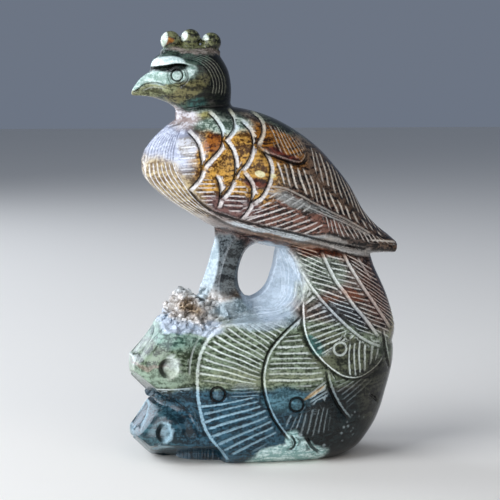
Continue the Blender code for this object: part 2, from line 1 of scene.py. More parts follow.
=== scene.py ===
# Jasper peacock carving: the bird, its train and the rock under it, cut from one stone and engraved.
# Outlines and strokes are drawn from the side, as x and z in millimetres with z = 2 at the ground.
# The carving is the same on both sides, so a stroke is cut on the left and on the right.
import json
import math
import bpy
import numpy as np
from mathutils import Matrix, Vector, noise

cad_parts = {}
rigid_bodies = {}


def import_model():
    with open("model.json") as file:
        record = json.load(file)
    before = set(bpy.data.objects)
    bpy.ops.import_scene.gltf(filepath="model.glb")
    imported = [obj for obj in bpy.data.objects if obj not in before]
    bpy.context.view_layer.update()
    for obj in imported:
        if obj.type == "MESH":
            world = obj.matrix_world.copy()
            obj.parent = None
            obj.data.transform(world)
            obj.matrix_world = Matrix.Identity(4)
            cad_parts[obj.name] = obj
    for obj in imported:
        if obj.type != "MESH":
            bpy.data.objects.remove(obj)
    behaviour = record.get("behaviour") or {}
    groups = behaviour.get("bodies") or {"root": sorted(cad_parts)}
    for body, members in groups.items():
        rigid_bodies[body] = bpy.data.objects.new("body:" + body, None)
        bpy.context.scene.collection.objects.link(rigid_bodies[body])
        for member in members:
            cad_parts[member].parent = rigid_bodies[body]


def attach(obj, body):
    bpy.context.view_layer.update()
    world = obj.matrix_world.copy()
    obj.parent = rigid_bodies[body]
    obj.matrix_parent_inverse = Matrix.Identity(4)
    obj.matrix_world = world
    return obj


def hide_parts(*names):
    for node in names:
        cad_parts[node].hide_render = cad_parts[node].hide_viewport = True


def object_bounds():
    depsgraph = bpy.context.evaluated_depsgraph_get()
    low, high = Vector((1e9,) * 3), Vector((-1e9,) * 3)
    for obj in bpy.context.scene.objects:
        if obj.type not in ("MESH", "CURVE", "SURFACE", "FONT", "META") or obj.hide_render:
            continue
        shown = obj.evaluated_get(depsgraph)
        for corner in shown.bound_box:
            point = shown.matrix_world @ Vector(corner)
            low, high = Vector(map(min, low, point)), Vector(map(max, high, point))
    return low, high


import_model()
cadLow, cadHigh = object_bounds()
print("frame loaded, CAD box", [round(v * 1000, 1) for v in (*cadLow, *cadHigh)])

mm = 0.001

# The carving's own sizes, in millimetres
peacock = {
    "bodyWidth": 36,
    "headWidth": 16.5,
    "legWidth": 11,
    "trainWidth": 37.5,
    "rockWidth": 39,
    "knobRadius": 2.85,
    "knobSegments": 48,
    "webThickness": 7,       # the stone left around the window behind the leg
    "scoopDepth": 10,        # from the web out to the scoop's rim on each side
    "scoopOutside": 1.1,     # how wide the scoop's cutter is outside the stone, 1 at the rim
    "ground": 2,             # height in the drawing at which the underside is flat
    "groundGap": 1e-7,       # metres: a point nearer to that height than this lies on the ground
    "cell": 0.22,            # grain in which the forms are fused
    "evened": 9,             # passes that take the grain out of the fused skin
    "evening": 0.5,          # how far each pass goes
    "triangles": 196000,
    "crease": 50,            # degrees: a sharper bend stays a crisp edge
    "between": 4,            # rings from one drawn section to the next
    "around": 64,            # points in a ring
}

# Sections: x and z of the front edge, x and z of the back edge, and the share of the full width
bodySections = (
    (-34.5, 88.0, -33.5, 91.0, 0.10),
    (-34.2, 84.2, -30.7, 94.5, 0.33),
    (-31.9, 80.8, -25.8, 98.7, 0.56),
    (-27.8, 77.2, -19.3, 102.3, 0.75),
    (-22.2, 73.5, -12.1, 103.3, 0.91),
    (-15.2, 69.3, -4.0, 102.2, 0.99),
    (-7.9, 65.8, 3.6, 99.7, 1.00),
    (-0.3, 63.4, 10.7, 95.7, 0.96),
    (6.7, 62.2, 16.6, 91.1, 0.88),
    (12.8, 61.5, 21.2, 86.1, 0.79),
    (18.9, 60.9, 25.6, 80.4, 0.68),
    (25.1, 60.6, 29.5, 73.5, 0.56),
    (30.4, 60.5, 33.3, 69.0, 0.46),
    (35.2, 60.6, 37.0, 66.0, 0.37),
    (38.6, 60.5, 39.7, 63.7, 0.29),
)
headSections = (
    (-24.9, 96.7, -4.6, 98.7, 1.34),
    (-24.7, 101.0, -7.2, 102.2, 1.07),
    (-24.9, 102.6, -8.8, 103.6, 0.95),
    (-26.6, 103.9, -8.8, 105.3, 0.93),
    (-28.7, 105.2, -8.7, 107.4, 0.95),
    (-30.7, 107.1, -8.8, 109.4, 0.99),
    (-31.8, 109.4, -9.1, 111.4, 1.00),
    (-32.1, 111.7, -9.6, 113.3, 0.99),
    (-31.8, 113.7, -10.4, 115.0, 0.93),
    (-31.4, 115.6, -11.6, 116.9, 0.83),
    (-30.1, 117.2, -12.9, 118.4, 0.67),
    (-27.8, 118.4, -14.8, 119.2, 0.44),
    (-25.2, 118.8, -17.1, 119.4, 0.18),
)
beakSections = (
    (-26.0, 103.8, -27.8, 113.2, 0.61),
    (-28.7, 104.8, -31.0, 113.4, 0.49),
    (-31.0, 105.6, -32.8, 112.4, 0.38),
    (-33.3, 106.0, -34.4, 111.3, 0.29),
    (-35.2, 106.1, -35.7, 109.8, 0.22),
    (-36.5, 106.1, -36.9, 108.0, 0.13),
    (-37.1, 106.2, -37.3, 106.9, 0.05),
)
crestSections = (
    (-29.0, 116.5, -29.0, 118.8, 0.16),
    (-26.8, 116.0, -27.1, 120.0, 0.28),
    (-20.8, 117.0, -20.8, 120.5, 0.32),
    (-14.5, 116.0, -14.2, 120.0, 0.28),
    (-12.2, 115.8, -11.8, 118.8, 0.16),
)
legSections = (
    (-13.9, 70.5, 5.0, 65.4, 1.80),
    (-13.5, 66.6, -1.2, 64.2, 1.35),
    (-13.7, 64.2, -4.1, 62.7, 1.12),
    (-14.5, 61.6, -5.5, 60.8, 1.00),
    (-15.2, 58.7, -6.5, 58.2, 0.95),
    (-16.1, 55.9, -7.1, 55.6, 0.95),
    (-17.1, 53.0, -7.1, 52.8, 1.00),
    (-18.2, 50.6, -6.4, 50.4, 1.15),
    (-20.3, 47.8, -4.1, 47.5, 1.45),
    (-22.3, 43.6, -1.7, 43.3, 1.70),
)
trainSections = (
    (7.0, 66.0, 29.0, 66.0, 0.48),
    (4.5, 62.5, 31.2, 61.8, 0.58),
    (3.8, 58.5, 32.6, 57.3, 0.69),
    (2.9, 55.0, 34.0, 54.1, 0.77),
    (0.6, 51.5, 35.6, 50.6, 0.85),
    (-3.5, 48.0, 36.9, 47.2, 0.91),
    (-6.4, 44.0, 38.1, 43.1, 0.96),
    (-7.8, 38.8, 38.8, 38.8, 0.99),
    (-7.8, 33.0, 37.5, 33.0, 0.95),
)
rockSections = (
    (-26.0, 0.0, 20.0, 0.0, 0.52),
    (-28.0, 1.5, 22.5, 1.5, 0.62),
    (-29.6, 3.0, 25.2, 3.0, 0.76),
    (-30.8, 5.0, 28.0, 5.0, 0.89),
    (-31.6, 7.8, 30.2, 7.8, 0.97),
    (-31.8, 12.2, 33.0, 12.2, 1.00),
    (-31.8, 16.8, 34.9, 16.8, 1.00),
    (-31.8, 21.4, 36.2, 21.4, 1.00),
    (-31.8, 26.0, 37.5, 26.0, 0.99),
    (-31.8, 30.7, 38.3, 30.7, 0.98),
    (-31.5, 35.3, 38.0, 35.3, 0.96),
    (-31.0, 38.8, 35.0, 38.8, 0.93),
    (-30.1, 42.3, 29.0, 42.3, 0.89),
    (-28.7, 45.1, 20.0, 45.1, 0.82),
    (-26.0, 47.2, 10.0, 47.2, 0.67),
)
upperBulgeSections = (
    (-28.1, 46.0, -10.0, 46.0, 0.56),
    (-31.8, 42.3, -9.0, 42.3, 0.74),
    (-35.2, 37.3, -8.0, 37.3, 0.84),
    (-38.3, 32.4, -8.0, 32.4, 0.89),
    (-38.9, 28.7, -8.0, 28.7, 0.90),
    (-38.1, 24.6, -8.0, 24.6, 0.88),
    (-35.5, 22.0, -9.0, 22.0, 0.84),
    (-33.3, 19.8, -10.0, 19.8, 0.78),
)
lowerBulgeSections = (
    (-33.3, 19.1, -10.0, 19.1, 0.74),
    (-34.6, 17.4, -9.0, 17.4, 0.80),
    (-36.8, 14.5, -8.0, 14.5, 0.87),
    (-38.5, 11.0, -8.0, 11.0, 0.89),
    (-38.6, 8.7, -8.0, 8.7, 0.88),
    (-37.9, 6.9, -8.0, 6.9, 0.85),
    (-35.6, 5.0, -9.0, 5.0, 0.78),
    (-32.0, 2.6, -10.0, 2.6, 0.66),
    (-29.0, 0.5, -11.0, 0.5, 0.54),
)

# The leg's section, from its narrow front edge round to its back: shares along and across
keel = ((1, 0.12), (0.15, 0.97), (0, 1), (-0.75, 0.92), (-1, 0.55),
        (-1, -0.55), (-0.75, -0.92), (0, -1), (0.15, -0.97), (1, -0.12))

knobCentres = ((-26.0, 121.6), (-20.3, 122.15), (-14.4, 121.2))

# The scoop behind the leg: x and z on the window's edge, then x and z on the scoop's rim
scoopOutline = (
    (-48.0, 75.0, -48.0, 75.0),
    (0.0, 75.0, 0.0, 75.0),
    (0.6, 64.0, 0.3, 66.0),
    (2.0, 61.8, 3.0, 62.4),
    (3.0, 59.0, 6.4, 59.0),
    (3.1, 56.0, 8.7, 55.0),
    (2.6, 53.5, 9.7, 51.8),
    (1.5, 51.2, 9.0, 48.4),
    (-0.3, 49.3, 5.5, 45.0),
    (-3.0, 47.9, -1.0, 43.3),
    (-7.0, 47.4, -9.0, 42.8),
    (-14.0, 46.6, -18.0, 42.0),
    (-21.0, 45.6, -26.0, 40.5),
    (-30.0, 44.5, -34.0, 41.0),
    (-48.0, 44.5, -48.0, 41.0),
)
scoopFlare = (0, 0.03, 0.12, 0.27, 0.48, 0.74, 1)

# Rough lumps around the foot: x, z, and the half length, half height and half width
footLumps = (
    (-22.5, 45.8, 4.6, 5.4, 7.5),
    (-26.3, 42.5, 3.8, 4.2, 8.5),
    (-18.5, 43.0, 6.0, 4.6, 10.0),
    (-12.5, 42.5, 6.0, 4.6, 10.5),
    (-23.5, 41.2, 5.5, 4.4, 11.0),
    (-17.0, 40.5, 8.0, 3.8, 12.5),
    (-4.5, 46.5, 2.2, 1.8, 5.0),
)
# How they are roughened
lumps = {
    "subdivisions": 5,
    "swell": 0.22,           # how far a lump's swells stand out, as a share of its radius
    "swellsPerRadius": 2.3,
    "crag": 0.05,            # the same for the finer crags on it
    "cragsPerRadius": 5,
    "cragDetail": (1.0, 2.0, 4),  # how fast finer crags fade, how much finer each is, and how many
}

# Each form: its sections, the width that they are shares of, how square its ring is (2 is round), how far
# towards its front edge it is widest, and whether the scoop cuts into it
forms = {
    "train": (trainSections, "trainWidth", 2.6, 0, True),
    "rock": (rockSections, "rockWidth", 2.9, 0, True),
    "upperBulge": (upperBulgeSections, "rockWidth", 2.4, 0, True),
    "lowerBulge": (lowerBulgeSections, "rockWidth", 2.4, 0, False),
    "body": (bodySections, "bodyWidth", 2.1, 0.28, False),
    "head": (headSections, "headWidth", 2, 0, False),
    "beak": (beakSections, "headWidth", 2, 0, False),
    "crest": (crestSections, "headWidth", 2, 0, False),
}


def selectOnly(*things):
    for thing in bpy.context.scene.objects:
        thing.select_set(False)
    for thing in things:
        thing.select_set(True)
    bpy.context.view_layer.objects.active = things[0] if things else None


def applyModifier(thing, kind, **settings):
    selectOnly(thing)
    modifier = thing.modifiers.new(kind.lower(), kind)
    for name, value in settings.items():
        setattr(modifier, name, value)
    bpy.ops.object.modifier_apply(modifier=modifier.name)


def smoothRows(rows, steps):
    # the drawn rows, with more between them on a curve that passes through them
    rows = np.array(rows, dtype=float)
    ends = np.vstack((2 * rows[0] - rows[1], rows, 2 * rows[-1] - rows[-2]))
    result = []
    for before, start, end, after in zip(ends, ends[1:], ends[2:], ends[3:]):
        for step in range(steps):
            t = step / steps
            result.append(0.5 * (2 * start + (end - before) * t
                                 + (2 * before - 5 * start + 4 * end - after) * t ** 2
                                 + (3 * start - before - 3 * end + after) * t ** 3))
    result.append(rows[-1])
    return np.array(result)


def readPoints(mesh, kind):
    points = np.empty(3 * len(mesh.vertices))
    mesh.vertices.foreach_get(kind, points)
    return points.reshape(-1, 3)


def writePoints(mesh, points):
    mesh.vertices.foreach_set("co", points.ravel())
    mesh.update()


def skinOver(name, rings):
    # a circle is added for each ring and set on its outline, then all are bridged and the ends filled
    selectOnly()
    for index, ring in enumerate(rings):
        middle = ring.mean(axis=0)
        reach = np.linalg.norm(ring - middle, axis=1).max()
        bpy.ops.mesh.primitive_circle_add(vertices=len(ring), radius=reach, location=middle,
                                          rotation=(math.pi / 2, 0, 0))
        if index == 0:
            thing = bpy.context.object
            thing.name = name
            bpy.ops.object.mode_set(mode="EDIT")
    bpy.ops.object.mode_set(mode="OBJECT")
    bpy.ops.object.transform_apply(location=True, rotation=True, scale=True)
    writePoints(thing.data, np.concatenate(rings))
    bpy.ops.object.mode_set(mode="EDIT")
    bpy.ops.mesh.select_all(action="SELECT")
    bpy.ops.mesh.bridge_edge_loops()
    bpy.ops.mesh.select_all(action="SELECT")
    bpy.ops.mesh.fill_holes(sides=0)
    bpy.ops.mesh.select_all(action="SELECT")
    bpy.ops.mesh.normals_make_consistent(inside=False)
    bpy.ops.object.mode_set(mode="OBJECT")
    return thing


def ovalProfile(squareness, droop):
    # round at squareness 2, widest towards its front by droop
    angle = 2 * math.pi * np.arange(peacock["around"]) / peacock["around"]
    along = np.sign(np.cos(angle)) * np.abs(np.cos(angle)) ** (2 / squareness)
    across = np.sign(np.sin(angle)) * np.abs(np.sin(angle)) ** (2 / squareness)
    return np.stack([along + droop * (1 - along ** 2), across], axis=1)


def loftForm(name, sections, width, profile):
    profile = np.array(profile, dtype=float)
    rings = []
    for x1, z1, x2, z2, share in smoothRows(sections, peacock["between"]):
        front, back = np.array((x1, 0, z1)), np.array((x2, 0, z2))
        side = np.array((0, width * share / 2, 0))
        ring = (front + back) / 2 + profile[:, :1] * (front - back) / 2 + profile[:, 1:] * side
        rings.append(ring * mm)
    return skinOver(name, rings)


def scoopCutter():
    # what is taken away between belly and train: a window that flares out to a rim each way
    outline = smoothRows(scoopOutline, peacock["between"])
    sections = [(peacock["webThickness"] / 2 + peacock["scoopDepth"] * out, math.sqrt(out * (2 - out)))
                for out in scoopFlare]
    sections.append((peacock["rockWidth"], peacock["scoopOutside"]))
    sections = [(-y, opening) for y, opening in reversed(sections)] + sections
    rings = []
    for y, opening in sections:
        x = outline[:, 0] + (outline[:, 2] - outline[:, 0]) * opening
        z = outline[:, 1] + (outline[:, 3] - outline[:, 1]) * opening
        rings.append(np.stack([x, np.full(len(x), y), z], axis=1) * mm)
    return skinOver("scoopCutter", rings)


def footLump(x, z, length, height, width):
    selectOnly()
    bpy.ops.mesh.primitive_ico_sphere_add(subdivisions=lumps["subdivisions"], radius=1)
    thing = bpy.context.object
    for vertex in thing.data.vertices:
        place = vertex.co * lumps["swellsPerRadius"] + Vector((x, z, 0))
        swell = lumps["swell"] * noise.noise(place)
        place = vertex.co * lumps["cragsPerRadius"] + Vector((x, z, 0))
        crag = lumps["crag"] * noise.fractal(place, *lumps["cragDetail"])
        vertex.co *= 1 + swell + crag
    thing.scale = Vector((length, width, height)) * mm
    thing.location = Vector((x, 0, z)) * mm
    bpy.ops.object.transform_apply(location=True, rotation=True, scale=True)
    return thing


def crestKnob(x, z):
    selectOnly()
    bpy.ops.mesh.primitive_uv_sphere_add(segments=peacock["knobSegments"],
                                         ring_count=peacock["knobSegments"] // 2,
                                         radius=peacock["knobRadius"] * mm, location=(x * mm, 0, z * mm))
    bpy.ops.object.transform_apply(location=True, rotation=True, scale=True)
    return bpy.context.object


def blockOut():
    # the broad forms, scooped out and fused into one skin
    cutter = scoopCutter()
    blocks = []
    for name, (sections, width, squareness, droop, scooped) in forms.items():
        block = loftForm(name, sections, peacock[width], ovalProfile(squareness, droop))
        if scooped:
            applyModifier(block, "BOOLEAN", object=cutter, operation="DIFFERENCE")
        blocks.append(block)
    bpy.data.objects.remove(cutter)
    blocks.append(loftForm("leg", legSections, peacock["legWidth"], keel))
    blocks += [footLump(*lump) for lump in footLumps]
    blocks += [crestKnob(*centre) for centre in knobCentres]
    selectOnly(*blocks)
    bpy.ops.object.join()
    thing = bpy.context.object
    thing.name = thing.data.name = "jasperPeacock"
    applyModifier(thing, "REMESH", mode="VOXEL", voxel_size=peacock["cell"] * mm)
    applyModifier(thing, "SMOOTH", factor=peacock["evening"], iterations=peacock["evened"])
    return thing


piece = blockOut()
print("forms fused:", len(piece.data.vertices), "points")

# Lines are drawn as x and z. Each row of these steps: how pale the bevel along its high side is, how dark
# the foot below it is drawn with painted shade, how far the low side lies down, how far it takes to come
# level again, the width of the bevel, and the line, which has the high side on its left.
featherEdges = (
    (0.75, 0.3, 0.7, 6, 1.2, ((-6, 43.3), (-13.5, 42.4), (-17.1, 39.5), (-19.4, 35.9), (-20.7, 32.1),
        (-21.1, 27.6), (-20.9, 22.6), (-20.3, 18.3), (-19.2, 13.8), (-17.3, 10.2), (-15, 7.2), (-12, 3))),
    (0.6, 1, 0.7, 6, 0.6, ((9.3, 44.4), (7.3, 42.5), (4.9, 40.4), (2.3, 37.9), (-0.1, 34.9), (-1.4, 31.6),
        (-2.1, 27.5), (-1.6, 23.1), (-0.4, 19.1), (1.3, 15.4), (3.6, 12.1), (5.6, 9.4))),
    (1, 0.7, 0.7, 5, 0.6, ((9.4, 48.9), (9.4, 42.3), (10.2, 38.7), (11.8, 35.3), (14.1, 32.4),
        (16.7, 29.9), (20, 27.5), (23.4, 26.4), (26.4, 26.6), (29.3, 27.9), (31.9, 29.7), (33.4, 31.6))),
    (0.4, 1, 1, 6, 0.8, ((16.2, 29.2), (16.8, 25.6), (17.9, 22.5), (19.5, 19.5), (21.4, 16.7),
        (23.2, 14.6))),
    (0.6, 0.9, 0.5, 3, 0.6, ((32.9, 40.1), (34.2, 35.7), (35.1, 31.8), (36.3, 27.5))),
    (0.2, 1, 1.2, 5, 0.6, ((-22.3, 80.6), (-19.5, 77.3), (-16.1, 74.7), (-11.2, 72.8), (-5.6, 71),
        (-0.1, 69.7), (5.7, 68.4), (11.9, 66.7), (18, 65), (24.1, 63.6), (29.8, 62.4))),
    (0.7, 0.6, 0.6, 4, 0.6, ((-20.6, 75.4), (-16.4, 73.4), (-10.8, 70.4), (-5.3, 68.9), (0.3, 67.3),
        (6.1, 66), (12.1, 64.8), (18.1, 63.2), (22.5, 61.7), (28, 60.6))),
    (0.3, 0.8, 0.9, 3.5, 0.6, ((-3, 92.7), (-1.8, 91.1), (0.2, 90.2), (3, 89.1), (5.9, 88.1), (8.2, 87.5),
        (9.9, 87.7), (11, 88.9), (11.4, 90.6))),
    (0.3, 0.3, 1.2, 2.4, 0.5, ((-34.5, 114), (-30.8, 114.4), (-29.2, 114.6), (-27.1, 114.9),
        (-25.4, 115.2), (-23.6, 115.2), (-22.2, 114.9), (-19.5, 114))),
    (0, 0, 0.8, 5, 0.6, ((-35, 19), (-33.3, 20.4), (-31.5, 22), (-28.6, 21.8), (-26.4, 20.8),
        (-24.5, 19.3), (-22.7, 17.2), (-21.2, 14.2))),
)
# A scale stands proud on its line's left, with painted shade drawn along the line, and the next one starts
# in the dusty hollow along its right. All the scales share the first five values of the rows above.
scaleSize = (1, 1, 0.7, 4, 0.5)
scaleEdges = (
    ((-22.8, 80.2), (-20.5, 82.7), (-19.4, 84.6), (-19.1, 86.8), (-19.3, 89.3), (-19.7, 91.8),
        (-20.6, 93.9), (-22.6, 96.2)),
    ((-18.8, 86.2), (-17.4, 88.2), (-15.1, 90.4), (-13.6, 92.3), (-13.1, 94.5), (-13.3, 96.9),
        (-14.7, 99.4), (-16.8, 101.4)),
    ((-13.8, 78), (-12.1, 80), (-11, 81.9), (-10.1, 84.4), (-9.9, 87.1), (-10.2, 89.8), (-11.1, 92),
        (-12.8, 94.2)),
    ((-12.8, 93.6), (-10.9, 95.6), (-9.5, 97.5), (-9.5, 99.9), (-10.9, 102.2)),
    ((-9.8, 83.2), (-9.2, 84.9), (-7.7, 86.5), (-6, 88.7), (-4.9, 91.4), (-4.5, 93.9), (-5.1, 96.3),
        (-7.6, 99.1)),
    ((-5.2, 77), (-2.8, 78.5), (-1.4, 80.7), (-0.3, 83.4), (0.1, 86.2), (-0.5, 88.6), (-2, 91)),
    ((-3.6, 92.6), (-1.8, 95.5), (-1.3, 97.6), (-1.8, 99.5), (-4, 101.2)),
    ((-15, 75), (-14.3, 77.4), (-14.2, 79.7), (-14.5, 81.9), (-15.6, 84.6)),
    ((-8.8, 71.7), (-7, 74), (-5.9, 76), (-5.4, 78.3), (-5.4, 80.8), (-6.2, 82.7), (-8, 84.9)),
)
# Plain cuts: the tint drawn in them, pale dust above zero and painted shade with grime below, their width
# and depth
plainCuts = (
    (0.8, 0.9, 0.35, ((9.5, 57), (11.9, 52.9), (14, 49.9), (17, 46.4), (20, 43.3), (22.9, 40.6),
        (26.5, 37.8), (30, 35.9), (32.8, 34.8))),
    (0.9, 1.1, 0.5, ((15.8, 61.8), (16.7, 59.6), (18.2, 56.1), (19.7, 53.3), (21.8, 50.6), (24, 47.2),
        (26.3, 44.6), (28.4, 42), (31.6, 37.8))),
    (0.9, 1, 0.45, ((22.2, 61.4), (23.6, 58.1), (25.5, 54.8), (27.4, 51.7), (29.7, 48.5), (32.2, 44.9),
        (34.2, 42.1), (36, 39.5))),
    (0.6, 0.7, 0.3, ((26.4, 60.1), (28.5, 56.5), (30.5, 53.6))),
    (0.8, 0.7, 0.4, ((10.2, 21.9), (12.6, 23.6), (16.2, 26.1))),
    (0.8, 0.7, 0.4, ((10.9, 20.2), (13.2, 21.5), (16.6, 23.2))),
    (0.5, 0.9, 0.25, ((7, 62.2), (8.6, 59.3), (9.9, 55.3), (10.1, 51.6), (8.9, 48.2), (6.1, 45.5),
        (1.8, 43.9), (-3.6, 43.3))),
    (0.5, 0.7, 0.2, ((-17.9, 41.3), (-20.6, 37.6), (-22.3, 33), (-22.8, 28))),
    (0.5, 0.8, 0.4, ((-29, 40.8), (-26.7, 40.6), (-21, 39.3), (-17.9, 40.3))),
    (0.9, 0.6, 0.2, ((30, 64.9), (34.8, 64.4), (39.2, 63.7))),
    (0.5, 0.7, 0.3, ((-0.8, 81.2), (4, 80.6), (8.4, 78.6), (12.8, 76.2), (17.4, 73.8), (23.8, 70.6),
        (31, 66.5))),
    (0.5, 0.6, 0.25, ((-1.2, 79.6), (3.4, 78.7), (7.5, 76.9), (11.7, 74.8), (16.2, 72.8), (23.1, 69.8),
        (30.1, 66))),
    (-0.8, 0.6, 0.3, ((-23, 98.7), (-25, 97.9), (-27.2, 97.1))),
    (-0.7, 0.5, 0.35, ((-36.9, 106.9), (-35.6, 107.8), (-33.8, 109.3), (-30.9, 109.8), (-28.9, 109.3),
        (-27.4, 108.5))),
    (0.25, 0.5, 0.2, ((-34.8, 107.3), (-31.9, 108.6), (-29.4, 108.5), (-27.8, 107.8))),
    (0.3, 0.5, 0.2, ((-26, 118.6), (-21, 119.2), (-15.5, 118.4))),
    (-0.6, 0.8, 0.4, ((-25, 101.8), (-18.8, 103), (-9.5, 103.2))),
    (-1, 0.8, 0.6, ((5.4, 11.4), (7, 8.9), (6.3, 7), (4.6, 6.6))),
    (-1, 1.2, 0.8, ((10, 10.4), (12, 7.1), (14.8, 4.8))),
    (-1, 0.9, 0.6, ((28.9, 21.6), (31.1, 19.8), (32.2, 18.3))),
    (-1, 0.8, 0.35, ((-2.2, 90.9), (0.6, 89.6), (3.6, 88.5), (6.6, 87.4), (8.4, 86.9), (10.5, 87.3),
        (11.9, 88.9))),
    (-0.9, 0.5, 0.2, ((-33, 20.3), (-31.4, 21.7), (-28.6, 21.5), (-26.4, 20.5), (-24.5, 19),
        (-22.8, 17))),
    (0.8, 0.5, 0.15, ((-33, 24.2), (-28, 24.4), (-21.5, 24.7))),
    (0.7, 0.4, 0.15, ((-30.6, 9.2), (-33.3, 4.9))),
)
# Ground rings: x, z, radius, tint (below zero it is painted shade with grime), width and depth
groundRings = (
    (-14.9, 22.9, 2.05, -1, 0.85, 0.6),
    (7.3, 19.6, 2.0, -1, 0.85, 0.6),
    (19.9, 35.0, 1.85, 0.9, 0.75, 0.45),
    (-24.7, 111.7, 2.9, -0.5, 0.5, 0.25),
    (-24.9, 111.8, 1.65, -1, 0.55, 0.45),
)
